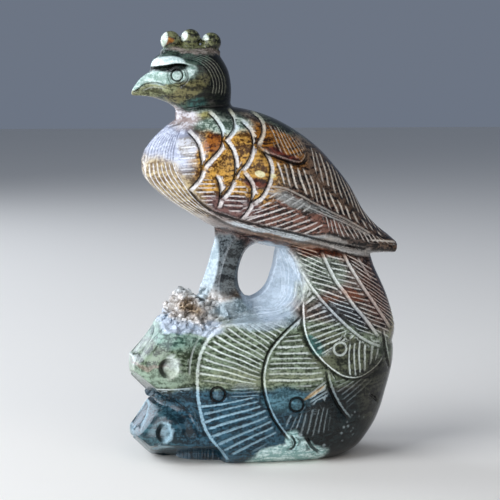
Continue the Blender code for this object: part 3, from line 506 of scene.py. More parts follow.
# Fields of strokes: kind, which of the two sets they belong to, tint, depth, and rows of two points and a
# number. "rungs" run from a row's first point to its second, and the number says how many strokes come
# before that row; "rails" run along the rows, and the number says how many lie side by side there.
strokeFields = (
    ("rungs", 0, 1, 0.3, ((0.2, 43.5, 5, 41.7, 0), (-3.6, 42.9, 2.9, 39, 2.1),
        (-7.9, 42.9, 0.7, 36.6, 4.3), (-12.5, 42, -0.6, 34.2, 6.4), (-16, 39.3, -1.7, 31.9, 8.6),
        (-18.2, 36.2, -2.5, 29.6, 10.7), (-19.7, 32.6, -3, 27.1, 12.9), (-20.3, 28.2, -3.9, 25.4, 15))),
    ("rungs", 1, 0.9, 0.3, ((-20.5, 20.3, -5.3, 22.6, 0), (-19.5, 17, -3.2, 20.9, 1.6),
        (-18.4, 13.3, -1.5, 19, 3.2), (-16.2, 10.3, 0.2, 16.5, 4.8), (-13.9, 7, 1.4, 13.9, 6.4),
        (-9.8, 4.6, 2.4, 11.6, 8))),
    ("rungs", 0, 0.5, 0.15, ((-11.8, 25.1, -3, 25.1, 0), (-11.5, 22, -2.4, 22.1, 3))),
    ("rungs", 1, 1, 0.3, ((5, 39.3, 8.2, 39.8, 0), (2.7, 37.4, 9.7, 37.5, 1.8),
        (0.7, 34.5, 11.5, 33.8, 3.6), (-0.5, 31.7, 13.4, 31.6, 5.4), (-1.1, 28.9, 15.2, 29.2, 7.2),
        (-1.1, 25.5, 15.3, 26, 9))),
    ("rungs", 0, 0.45, 0.3, ((5.4, 17.6, 3.7, 15.4, 0), (7.2, 16.8, 4.7, 11.8, 1.3),
        (9.1, 17.4, 6.9, 12.1, 2.7), (11.1, 18.3, 9.2, 10.6, 4), (13.5, 18.5, 11.6, 9.9, 5.3),
        (15.5, 19.2, 13.9, 10.4, 6.7), (17, 18.3, 15.9, 10.8, 8))),
    ("rungs", 0, 1, 0.3, ((9.6, 48.6, 12, 51, 0), (9.9, 44.5, 15.8, 47.3, 2), (10, 42.1, 18.6, 44.5, 4),
        (11, 38.6, 21.1, 42, 6), (12.7, 35.8, 22.8, 40.2, 8), (14.7, 33.3, 23, 38.1, 10),
        (20.3, 37.7, 21.7, 40.3, 11.5), (22.9, 36.7, 24.6, 38.9, 13))),
    ("rungs", 1, 1, 0.3, ((22.1, 36.6, 22, 27.5, 0), (23.7, 37.2, 24, 26.9, 1.2),
        (25.5, 37.5, 25.8, 27, 2.4), (27.7, 36.7, 27.5, 28, 3.6), (30.4, 35.4, 29.5, 29.5, 4.8),
        (32.6, 34.4, 31.3, 31, 6))),
    ("rungs", 1, 1, 0.3, ((6.3, 64.5, 14.4, 62.3, 0), (8.8, 61.8, 16.3, 58.8, 2.3),
        (9.8, 58.5, 17.8, 55.3, 4.7), (11.2, 55.1, 19.8, 52.3, 7), (13.2, 51.9, 21.9, 49, 8.6),
        (15.8, 49.4, 23.9, 46.4, 10.2), (18.9, 46.4, 26.2, 43.5, 11.8), (21.9, 43.3, 28.6, 40.6, 13.4),
        (24.9, 40.3, 31, 37.7, 15))),
    ("rungs", 0, 1, 0.3, ((16.1, 62.1, 22.1, 60.6, 0), (17.8, 58.3, 24.1, 56.7, 2),
        (19.2, 55, 25.7, 53.7, 4), (21.3, 52, 27.9, 50.3, 6), (23.7, 48.9, 30.2, 46.8, 8),
        (25.7, 46, 32.8, 43.2, 10), (28.1, 43.1, 35.2, 39.7, 12), (31, 39, 36.4, 36, 14))),
    ("rungs", 1, 1, 0.3, ((22.6, 61.7, 30.5, 57.5, 0), (24.2, 58.6, 33, 53, 2.4),
        (26.2, 54.8, 35.5, 48.4, 4.8), (28.4, 51.1, 37.4, 44.9, 7.2), (31.1, 47.3, 38.6, 41.8, 9.6),
        (33.7, 43.6, 39, 38, 12))),
    ("rungs", 0, 0.3, 0.15, ((17.6, 26.3, 20.6, 26.5, 0), (18.4, 23.7, 24, 26, 2),
        (20, 21.1, 28.3, 26.6, 4), (22, 18.9, 31, 25.3, 6))),
    ("rungs", 1, 0.65, 0.25, ((0.3, 98.3, 3.2, 90.4, 0), (2.6, 98.1, 6.2, 89.1, 2),
        (4.7, 97.1, 8.8, 88.3, 4), (7.6, 95.2, 10.6, 89.1, 6), (10.2, 93, 11.4, 90.6, 8))),
    ("rungs", 0, 1, 0.3, ((1.5, 88.3, 3.4, 81.8, 0), (3.9, 88, 5.7, 80.8, 1.3),
        (6.5, 87.2, 8.4, 79.4, 2.6), (9.4, 86.2, 11.7, 77.7, 4), (12.3, 84, 14.4, 75.6, 5.6),
        (15.2, 81.1, 17.5, 74.1, 7.2), (18.7, 78.4, 20.9, 72.5, 8.8), (22.4, 75.4, 24.4, 70.8, 10.4),
        (26.7, 72.3, 28.4, 68.6, 12), (30.8, 69.2, 32.4, 66.5, 13.6), (35.1, 65.8, 36.2, 64.6, 15))),
    ("rungs", 1, 0.9, 0.25, ((12.9, 92.4, 13.2, 86.2, 0), (13.8, 91.6, 14.8, 82.8, 1),
        (16, 89.8, 17.8, 79.8, 2.5), (18.8, 87.2, 21.5, 76.8, 4.2), (21.8, 84.2, 25.4, 73.8, 6.2),
        (25.2, 80.2, 29.1, 70.8, 8.2), (29, 75.6, 32.7, 68, 10.2), (32.8, 71, 36.2, 65.4, 12.2))),
    ("rungs", 1, 1, 0.3, ((-3.6, 75.6, -0.6, 77.4, 0), (-4.2, 74.4, 1.2, 76.4, 0.9),
        (-6.6, 72.2, 3.4, 76, 1.9), (-6.2, 70.9, 5.6, 75.2, 2.9), (-4.2, 70.2, 7.8, 74.3, 3.9),
        (-1.7, 69.5, 9.6, 73.4, 4.9), (1.3, 68.9, 11.1, 72.4, 5.9), (4.8, 68.2, 13.6, 71.5, 7),
        (8.3, 67.5, 15.1, 70.6, 8.1), (11.3, 66.9, 16.2, 69.5, 9.2))),
    ("rungs", 0, 0.8, 0.2, ((-8, 75.6, -3.6, 76.8, 0), (-8.6, 73.4, -2, 75, 1.5),
        (-6.1, 71.3, -0.8, 72, 3))),
    ("rungs", 0, 0.9, 0.25, ((15.6, 73.2, 16.5, 69.9, 0), (17.5, 72, 18.8, 67.4, 1.5),
        (19.3, 71.4, 21.3, 66.1, 3), (21.2, 70.5, 23.9, 65.4, 4.5), (23.7, 69.5, 26.3, 64.8, 6),
        (27, 68.1, 29.5, 64.1, 8), (31, 66.7, 33.3, 63.8, 10.5), (34.9, 65.1, 37.4, 63.2, 13))),
    ("rungs", 0, 1, 0.25, ((-1.7, 78.1, 1.2, 79.9, 0), (1.7, 76.8, 6.1, 78.9, 1.9),
        (5.1, 75.6, 9.6, 77.8, 3.5), (8.1, 74.1, 11.6, 76.4, 5), (10.6, 73, 14.2, 74.3, 6.4))),
    ("rungs", 0, 1, 0.2, ((-25, 92.4, -20.2, 93.2, 0), (-25.1, 89.6, -19.8, 90.2, 2),
        (-25, 86.4, -20, 86.8, 4), (-24.4, 83.6, -20.6, 83.8, 6))),
    ("rungs", 1, 0.9, 0.22, ((-21.2, 82.4, -15.2, 82.6, 0), (-20.8, 80.2, -14.9, 80.3, 2),
        (-19.5, 77.8, -15, 77.8, 4), (-17.4, 75.4, -15.6, 75.3, 6))),
    ("rungs", 0, 0.9, 0.22, ((-12.1, 81.6, -6.8, 81.9, 0), (-13.2, 79.1, -6.3, 79.1, 2),
        (-13.4, 76.6, -6.4, 76.6, 4), (-11.2, 73.6, -7.8, 73.4, 6))),
    ("rails", 1, -0.4, 0.2, ((-23.5, 97.6, -25.6, 98.2, 11), (-24.8, 94.6, -30.6, 95, 11),
        (-25.9, 91, -33.4, 91.6, 11), (-26.2, 88, -34.6, 87.4, 11))),
    ("rails", 0, 1, 0.3, ((-26.2, 88, -34.6, 87.4, 8), (-25.2, 84.6, -34, 83.4, 8),
        (-23.1, 81.2, -31, 79, 8), (-20.6, 78, -26.4, 75.4, 8), (-17.7, 75, -21.2, 73, 7),
        (-15.4, 73, -17.6, 71.6, 6))),
    ("rails", 0, 0.9, 0.15, ((6.6, 62.8, 4, 62.4, 4), (8.4, 60.2, 4.2, 60.1, 4), (9.4, 55, 4.9, 54.7, 5),
        (9, 49.4, 4.3, 48.9, 5), (6, 45.9, 1.4, 45.4, 4), (1.4, 44.1, -1.6, 46, 3),
        (-4.4, 43.4, -5, 45.2, 3))),
    ("rails", 0, 0.3, 0.2, ((-24.3, 116.6, -24.3, 117.9, 5), (-20, 115.9, -18.6, 118, 5),
        (-17, 113.9, -14, 116.4, 5), (-15.6, 111.4, -11.6, 113, 5), (-15.2, 109, -10.6, 109.2, 5),
        (-15.6, 106.8, -11, 105.8, 5))),
)
# Scoops ground into the stone: x, z, half length, half width, lean in degrees, depth and the dust in them
pits = (
    (-28.7, 30.5, 2.8, 2.8, 0, 1.5, 0.6),
    (-30, 11.9, 2.2, 2.6, 0, 1.4, 0.5),
    (-37.2, 38.6, 5.6, 7.5, 52, 0.5, 0.35),
    (-41, 29.1, 3, 8, 90, 0.5, 0.4),
    (-39, 16.4, 4.8, 7.2, 57, 0.6, 0.05),
    (-41, 9.1, 1.9, 6, 90, 0.4, 0.4),
)
# Flats ground on the rock's front end: a line seen from the side, with the waste on its left, the heights
# between which the wheel cut, and the degrees by which the flat turns to the side
flats = (
    (-37.9, 33, -31.2, 41.5, 30, 46, 12),
    (-33.9, 22, -38.4, 26.6, 20.5, 29, 12),
    (-38.9, 10.8, -33.4, 19.1, 9, 19.6, 12),
    (-32.9, 3, -38.6, 8.6, 0, 10, 12),
    (-14, 0.9, -37, 2.9, 0, 11, 21),
)
# Flakes knocked off at the foot, by x, z and radius
flakes = (
    (21.2, 12.4, 0.5),
    (22.5, 12.6, 0.5),
    (24.2, 11.8, 0.4),
    (23.5, 11, 0.4),
    (20.6, 10.7, 0.5),
    (23.7, 15.8, 0.4),
    (24.6, 16.6, 0.4),
    (22, 14, 0.4),
    (24.3, 9.9, 0.4),
    (21, 8.2, 0.4),
    (25.9, 15.2, 0.4),
    (27.6, 14.7, 0.4),
    (8.4, 11.2, 0.7),
    (3.2, 10.4, 0.6),
    (15.6, 7.4, 0.6),
)

# Sizes that all the cuts share, in millimetres
cuts = {
    "between": 4,            # points from one drawn point of a line to the next
    "sideways": (0.03, 0.18),  # sideways share of the normal at which carving begins, and is full
    "foot": 0.65,            # width of the narrow cut along the foot of a step
    "footDepth": 0.35,
    "lip": 0.3,              # how far a step's high edge is rounded off, as a share of the step
    "scaleDust": 0.2,        # how far from a scale's edge the dust in its hollow begins
    "taper": 1.2,            # length over which a line runs out at its ends
    "stepTaper": 3.5,
    "hollow": (5.0, 0.9),    # width and depth of the groove under the upper bulge
    "boss": (2, 0.3),        # how far inside a dark ring the dust begins, in half widths, and how much
    "inwards": 0.05,         # how much a spot nearer the middle plane is preferred
    "flatReach": 14,         # how far from its middle a flat reaches, and the length over which it ends
    "flatRunOut": 3,
    "flakeDepth": 0.35,
    # How far out a line is marked, and for its two sides where the mark fades and where it ends. These are
    # millimetres beside a step and half widths beside a plain cut.
    "farOut": 3,
    "fade": {
        "featherEdge": ((1.1, 1.6), (0.9, 1.4)),
        "scaleEdge": ((0.5, 0.8), (1.45, 1.8)),
        "plainCut": ((1.6, 2.6), (1.6, 2.6)),
    },
}
lineKinds = tuple(cuts["fade"])
strokeSets = ("stroke0", "stroke1")
strokes = {
    "between": 6,            # rows from one drawn row to the next
    "share": 0.2,            # half width of a stroke, as a share of its pitch
    "fade": 0.7,             # length over which a stroke starts and stops
    "early": 0.1,            # how far outside its end that begins
    "ragged": 0.9,           # how unevenly the strokes start and stop
    "sway": 0.08,            # how far a stroke strays, as a share of its pitch
    "waves": ((0.2, 0.3, 0), (-0.4, 0.5, 1)),  # of that straying: radians a millimetre, and where it starts
    "uneven": 0.3,           # how much fainter the faintest stroke is
    "edge": (0.1, 0.2),      # how far outside a field its last stroke ends, and inside it is whole
    "reach": 0.65,           # how far from a row's middle a point belongs to it, as a share of its length
    "batch": 20000,          # points that are looked up at a time
    "scatter": (12.99, 78.23, 437.58),  # step, shift and gain of the sine that makes strokes differ
}
# The marks in a pit. Places are shares of the way from its middle to its rim, widths are in millimetres.
pitMarks = {
    "wall": 4,               # steepness
    "farSide": (-0.5, 0.3),  # where along the pit its far side begins, and is full
    "floor": (0.8, 0.9),     # where the dust on the floor fades, and ends
    "rim": 1.03,
    # dust on the far rim, with a painted highlight in it
    "rimDustAndHighlight": 0.9,
    "rimWidth": (0.2, 0.45),
    # where the painted shade at the foot of the wall lies
    "shadedWallFoot": 0.92,
    "footWidth": (0.15, 0.4),
    "deep": 1,               # only a pit deeper than this has painted shade at the foot of its wall
}
hollowUnderBulge = ((-34.5, 18), (-30.6, 19.2), (-27, 18.2), (-24, 16), (-22.2, 12.6), (-21.6, 10))
# The rough stone at the foot, in millimetres
crags = {
    "centre": (-21.5, 46.2),
    "reach": (9.5, 6.6),     # half length and half height
    "edge": (0.75, 1.1),     # where it thins out and where it ends, as shares of its reach
    "chunk": 2.2,            # size of its chunks
    "chunkHeight": 1.3,
    "chunkSeed": 7,
    "crackDepth": 0.7,
    "crackWidth": 0.25,      # as a share of a chunk
    # how much darker the cracks are drawn
    "crackDarkening": 0.6,
    "grit": 0.8,
    "gritHeight": 0.35,
    "gritDetail": (1, 2, 3),  # how fast finer grit fades, how much finer each is, and how many
}


def smoothstep(value, low, high):
    share = np.clip((value - low) / (high - low), 0, 1)
    return share * share * (3 - 2 * share)


def scatter(number, seed):
    # an even spread from 0 to 1 that depends on the whole number alone
    step, shift, gain = strokes["scatter"]
    return np.modf(np.abs(np.sin(np.floor(number) * step + seed * shift) * gain))[0]


def readSurface(mesh, offset):
    # positions in drawn millimetres, with the right side turned onto the left, and what is cut there
    count = len(mesh.vertices)
    place = readPoints(mesh, "co") / mm + offset
    normal = readPoints(mesh, "normal")
    near = place.copy()
    near[:, 1] = -np.abs(place[:, 1])
    surface = {
        "place": place,
        "flat": place[:, (0, 2)],
        "near": near,
        "normal": normal,
        "sideways": smoothstep(np.abs(normal[:, 1]), *cuts["sideways"]),
        "ground": np.zeros((count, 3)),
        "lift": np.zeros(count),
        "powder": np.zeros(count),
        "shadeAndGrime": np.zeros(count),
    }
    for name in lineKinds:
        surface[name] = np.full(count, float(cuts["farOut"]))
        surface[name + "Tint"] = np.zeros(count)
    for name in strokeSets:
        surface[name] = np.zeros(count)
        surface[name + "Tint"] = np.zeros(count)
        surface[name + "Hold"] = np.full(count, -1.0)
    return surface


def measure(surface, line, reach, taper):
    # where a line passes within reach: which points, how far (above zero on its left), how strongly
    line = np.array(line, dtype=float)
    flat = surface["flat"]
    inside = np.all((flat > line.min(0) - reach) & (flat < line.max(0) + reach), axis=1)
    chosen = np.nonzero(inside)[0]
    points = flat[chosen]
    best = np.full(len(points), reach, dtype=float)
    side = np.zeros(len(points))
    passed = np.zeros(len(points))
    covered = 0
    for start, end in zip(line, line[1:]):
        run = end - start
        length = math.hypot(*run)
        share = np.clip((points - start) @ run / length ** 2, 0, 1)
        gap = points - start - share[:, None] * run
        distance = np.hypot(gap[:, 0], gap[:, 1])
        turn = run[0] * gap[:, 1] - run[1] * gap[:, 0]
        closer = distance < best
        best[closer] = distance[closer]
        side[closer] = np.sign(turn[closer])
        passed[closer] = covered + share[closer] * length
        covered += length
    hit = best < reach
    strength = np.clip(np.minimum(passed, covered - passed) / taper, 0, 1)
    return chosen[hit], (best * side)[hit], strength[hit]


def draw(surface, name, chosen, distance, tint):
    # keeps, for the material, how far each point is from the nearest line of this kind
    high, low = cuts["fade"][name]
    tint = tint * (1 - smoothstep(distance, *high)) * (1 - smoothstep(-distance, *low))
    nearer = np.abs(distance) < np.abs(surface[name][chosen])
    surface[name][chosen[nearer]] = distance[nearer]
    surface[name + "Tint"][chosen[nearer]] = (tint * surface["sideways"][chosen])[nearer]


def cutStep(surface, name, pale, dark, height, fade, bevel, line):
    # the low side is let down to the edge, with a narrow cut at its foot, and comes level over fade
    line = smoothRows(line, cuts["between"])
    chosen, distance, strength = measure(surface, line, fade, cuts["stepTaper"])
    away = np.abs(distance)
    half = cuts["foot"] / 2
    foot = cuts["footDepth"] * dark * np.clip(1 - ((away - half) / half) ** 2, 0, 1)
    low = -height * (1 - away / fade) ** 2 - foot
    high = -cuts["lip"] * height * np.clip(1 - away / bevel, 0, 1) ** 2
    cut = np.where(distance > 0, high, low) * strength * surface["sideways"][chosen]
    surface["lift"][chosen] += cut
    chosen, distance, strength = measure(surface, line, cuts["farOut"], cuts["taper"])
    drawn = np.where(distance > 0, distance * cuts["foot"] / bevel, distance)
    paleSide = distance > 0 if name == "featherEdge" else distance < -cuts["scaleDust"]
    draw(surface, name, chosen, drawn, np.where(paleSide, pale, dark) * strength)


def cutPlain(surface, tint, width, depth, line):
    half = width / 2
    line = smoothRows(line, cuts["between"])
    chosen, distance, strength = measure(surface, line, cuts["farOut"] * half, cuts["taper"])
    shape = np.clip(1 - (distance / half) ** 2, 0, 1)
    surface["lift"][chosen] -= depth * shape * strength * surface["sideways"][chosen]
    draw(surface, "plainCut", chosen, distance / half, tint * strength)


spots = {}


def spotAt(surface, x, z):
    # the surface point at x and z, or the one nearest to it; the place found on the fused forms is kept, so
    # that the thinned ones are marked at the same place
    if (x, z) not in spots:
        near = surface["near"]
        gap = np.hypot(near[:, 0] - x, near[:, 2] - z) - cuts["inwards"] * near[:, 1]
        spots[x, z] = near[gap.argmin()].copy()
    return spots[x, z]


def cutRing(surface, x, z, radius, tint, width, depth):
    away = surface["near"] - spotAt(surface, x, z)
    half = width / 2
    distance = (np.sqrt((away ** 2).sum(1)) - radius) / half
    inside = distance < 1
    surface["lift"][inside] = -depth * np.clip(1 - distance[inside] ** 2, 0, 1)
    for name in strokeSets:
        surface[name + "Tint"][inside] = 0
    chosen = np.nonzero(np.abs(distance) < cuts["farOut"])[0]
    draw(surface, "plainCut", chosen, distance[chosen], np.full(len(chosen), float(tint)))
    surface["plainCut"][distance <= -cuts["farOut"]] = -cuts["farOut"]
    if tint == -1:
        bossEdge, bossDust = cuts["boss"]
        surface["powder"][distance < -bossEdge] = bossDust


def grindPit(surface, x, z, along, across, lean, depth, dust):
    # dust with a painted highlight on the rim of the far side, and painted shade at the foot of the near
    # side's wall
    away = surface["near"] - spotAt(surface, x, z)
    turn = math.radians(lean)
    up = away[:, 0] * math.cos(turn) + away[:, 2] * math.sin(turn)
    cross = np.sqrt(np.maximum((away ** 2).sum(1) - up ** 2, 0))
    radius = np.hypot(up / along, cross / across)
    surface["lift"] -= depth * np.clip(pitMarks["wall"] * (1 - radius ** 2), 0, 1)
    size = math.sqrt(along * across)
    far = smoothstep(up / along, *pitMarks["farSide"])
    floor = dust * (1 - smoothstep(radius, *pitMarks["floor"]))
    fromRim = np.abs(radius - pitMarks["rim"]) * size
    rim = pitMarks["rimDustAndHighlight"] * far * (1 - smoothstep(fromRim, *pitMarks["rimWidth"]))
    surface["powder"] = np.maximum(surface["powder"], np.maximum(floor, rim))
    if depth > pitMarks["deep"]:
        fromFoot = np.abs(radius - pitMarks["shadedWallFoot"]) * size
        shadedWallFoot = (1 - far) * (1 - smoothstep(fromFoot, *pitMarks["footWidth"]))
        surface["shadeAndGrime"] = np.maximum(surface["shadeAndGrime"], shadedWallFoot)


def grindFlat(surface, x1, z1, x2, z2, lowest, highest, turn):
    length = math.hypot(x2 - x1, z2 - z1)
    turn = math.radians(turn)
    outwards = np.array(((z1 - z2) / length * math.cos(turn), -math.sin(turn),
                         (x2 - x1) / length * math.cos(turn)))
    away = surface["near"] - ((x1 + x2) / 2, 0, (z1 + z2) / 2)
    height = surface["near"][:, 2]
    reach = cuts["flatReach"]
    reached = 1 - smoothstep(np.hypot(away[:, 0], away[:, 2]), reach - cuts["flatRunOut"], reach)
    excess = np.maximum(away @ outwards, 0) * reached * (height > lowest) * (height < highest)
    surface["ground"] -= excess[:, None] * outwards
    surface["near"] = surface["near"] - excess[:, None] * outwards


def knockOff(surface, x, z, radius):
    away = surface["near"] - spotAt(surface, x, z)
    shape = np.clip(1 - (away ** 2).sum(1) / radius ** 2, 0, 1)
    surface["lift"] -= cuts["flakeDepth"] * shape
    surface["powder"] = np.maximum(surface["powder"], shape)


def placeInField(points, rows):
    # for each point the row it lies on, and its share of the way from that row's first side to its second
    first, run = rows[:, :2], rows[:, 2:4] - rows[:, :2]
    away = points[:, None] - first
    turn = run[:, 0] * away[..., 1] - run[:, 1] * away[..., 0]
    reached = (run * away).sum(2) / (run ** 2).sum(1)
    before, after = turn[:, :-1], turn[:, 1:]
    crossed = before * after <= 0
    step = np.divide(before, before - after, out=np.zeros_like(before), where=crossed & (before != after))
    share = reached[:, :-1] + step * np.diff(reached, axis=1)
    offCentre = np.where(crossed, np.abs(share - 0.5), np.inf)
    pick = offCentre.argmin(1)
    index = np.arange(len(points))
    return pick + step[index, pick], share[index, pick], offCentre[index, pick] < strokes["reach"]


def cutStrokes(surface, kind, part, tint, depth, rows):
    # strokes are numbered: a whole number lies between two strokes, and a half on a stroke's middle line
    name = strokeSets[part]
    between = strokes["between"]
    rows = np.array(rows, dtype=float)
    rows = smoothRows(np.vstack((2 * rows[0] - rows[1], rows, 2 * rows[-1] - rows[-2])), between)
    ends = between / (len(rows) - 1)
    sides = np.vstack((rows[:, :2], rows[:, 2:4]))
    flat = surface["flat"]
    inside = np.all((flat > sides.min(0)) & (flat < sides.max(0)), axis=1)
    rowLengths = np.hypot(*(rows[:, 2:4] - rows[:, :2]).T)
    middle = (rows[:, 2:4] + rows[:, :2]) / 2
    wholeLength = np.hypot(*np.diff(middle, axis=0).T).sum()
    batches = max(1, inside.sum() // strokes["batch"])
    for chosen in np.array_split(np.nonzero(inside)[0], batches):
        row, share, found = placeInField(flat[chosen], rows)
        chosen, row, share = chosen[found], row[found], share[found]
        counted = np.interp(row, np.arange(len(rows)), rows[:, 4])
        if kind == "rungs":
            number, total = counted, rows[between:-between, 4].max()
            length = np.interp(row, np.arange(len(rows)), rowLengths)
        else:
            number, total = share * counted, counted
            share = (row / (len(rows) - 1) - ends) / (1 - 2 * ends)
            length = wholeLength * (1 - 2 * ends)
        x, z = flat[chosen].T
        number = number + strokes["sway"] * sum(np.sin(a * x + b * z + c) for a, b, c in strokes["waves"])
        start = share * length - strokes["ragged"] * scatter(number, 1)
        end = (1 - share) * length - strokes["ragged"] * scatter(number, 2)
        mask = smoothstep(np.minimum(start, end), -strokes["early"], strokes["fade"] - strokes["early"])
        over, under = strokes["edge"]
        mask *= smoothstep(number, -over, under) * (1 - smoothstep(number, total - under, total + over))
        strength = 1 - strokes["uneven"] + strokes["uneven"] * scatter(number, 3)
        mask *= surface["sideways"][chosen] * strength
        shape = np.clip(1 - ((np.modf(np.abs(number))[0] - 0.5) / strokes["share"]) ** 2, 0, 1)
        surface["lift"][chosen] = surface["lift"][chosen] - depth * shape * mask
        taken = mask > surface[name + "Hold"][chosen]
        chosen = chosen[taken]
        surface[name + "Hold"][chosen] = mask[taken]
        surface[name][chosen] = number[taken]
        surface[name + "Tint"][chosen] = tint * mask[taken]


def carve(surface):
    # from the broad steps to the fine cuts
    for edge in featherEdges:
        cutStep(surface, "featherEdge", *edge)
    for line in scaleEdges:
        cutStep(surface, "scaleEdge", *scaleSize, line)
    width, depth = cuts["hollow"]
    line = smoothRows(hollowUnderBulge, cuts["between"])
    chosen, distance, strength = measure(surface, line, width / 2, cuts["stepTaper"])
    surface["lift"][chosen] -= depth * strength * (1 - (2 * distance / width) ** 2)
    for flat in flats:
        grindFlat(surface, *flat)
    for pit in pits:
        grindPit(surface, *pit)
    for flake in flakes:
        knockOff(surface, *flake)
    for field in strokeFields:
        cutStrokes(surface, *field)
    for cut in plainCuts:
        cutPlain(surface, *cut)
    for ring in groundRings:
        cutRing(surface, *ring)


def roughen(surface):
    # the unworked stone at the bird's foot: chunks with cracks between them, which are drawn darker, and
    # grit
    x, z = ((surface["flat"] - crags["centre"]) / crags["reach"]).T
    weight = 1 - smoothstep(np.hypot(x, z), *crags["edge"])
    for index in np.nonzero(weight > 0)[0]:
        place = Vector(surface["place"][index])
        distances, centres = noise.voronoi(place / crags["chunk"])
        chunk = crags["chunkHeight"] * (noise.cell(centres[0] * crags["chunkSeed"]) - 0.5)
        crack = max(0, 1 - (distances[1] - distances[0]) / crags["crackWidth"])
        grit = crags["gritHeight"] * noise.fractal(place / crags["grit"], *crags["gritDetail"])
        surface["lift"][index] += weight[index] * (chunk - crags["crackDepth"] * crack + grit)
        shadeAndGrime = crags["crackDarkening"] * weight[index] ** 2 * crack
        surface["shadeAndGrime"][index] = max(surface["shadeAndGrime"][index], shadeAndGrime)


def engrave(thing):
    surface = readSurface(thing.data, np.zeros(3))
    carve(surface)
    roughen(surface)
    ground = surface["ground"] * np.where(surface["place"][:, 1:2] > 0, (1, -1, 1), 1)
    moves = (ground + surface["normal"] * surface["lift"][:, None]) * mm
    writePoints(thing.data, readPoints(thing.data, "co") + moves)


def groundFlat(thing):
    # the underside is ground flat, and the piece set down where the CAD solid stands
    selectOnly(thing)
    bpy.ops.object.mode_set(mode="EDIT")
    bpy.ops.mesh.select_all(action="SELECT")
    bpy.ops.mesh.bisect(plane_co=(0, 0, peacock["ground"] * mm), plane_no=(0, 0, -1),
                        use_fill=True, clear_outer=True, threshold=peacock["groundGap"])
    bpy.ops.object.mode_set(mode="OBJECT")
    place = readPoints(thing.data, "co")
    middle = (place.min(0) + place.max(0)) / 2
    offset = np.array((middle[0] - (cadLow.x + cadHigh.x) / 2, 0, peacock["ground"] * mm))
    writePoints(thing.data, place - offset)
    return offset / mm


def keepLines(thing, offset):
    # the lines' places and tints go into the mesh, where the material reads them
    surface = readSurface(thing.data, offset)
    carve(surface)
    roughen(surface)
    drawn = [name + ending for name in lineKinds + strokeSets for ending in ("", "Tint")]
    for name in drawn + ["powder", "shadeAndGrime"]:
        layer = thing.data.attributes.new(name, "FLOAT", "POINT")
        layer.data.foreach_set("value", surface[name].astype(np.float32))


engrave(piece)
print("engraved")
keptShare = peacock["triangles"] / (2 * len(piece.data.polygons))  # the fused skin has faces of four sides
applyModifier(piece, "DECIMATE", ratio=keptShare, use_collapse_triangulate=True)
drawnOffset = groundFlat(piece)
applyModifier(piece, "TRIANGULATE")
print("thinned:", len(piece.data.polygons), "triangles, moved by", drawnOffset.round(2))
keepLines(piece, drawnOffset)
selectOnly(piece)
bpy.ops.object.shade_smooth_by_angle(angle=math.radians(peacock["crease"]))


def linear(hexColour):
    values = [int(hexColour[i:i + 2], 16) / 255 for i in (1, 3, 5)]
    return tuple(v / 12.92 if v <= 0.04045 else ((v + 0.055) / 1.055) ** 2.4 for v in values) + (1,)


def addNode(tree, kind, inputs, **settings):
    # a node with its settings and inputs: an input is a node or a socket to link, a hex colour or a value
    node = tree.nodes.new("ShaderNode" + kind)
    for name, value in settings.items():
        setattr(node, name, value)
    for name, value in inputs.items():
        if isinstance(value, bpy.types.Node):
            value = next(output for output in value.outputs if output.enabled)
        if isinstance(value, bpy.types.NodeSocket):
            tree.links.new(value, node.inputs[name])
        else:
            node.inputs[name].default_value = linear(value) if isinstance(value, str) else value
    return node
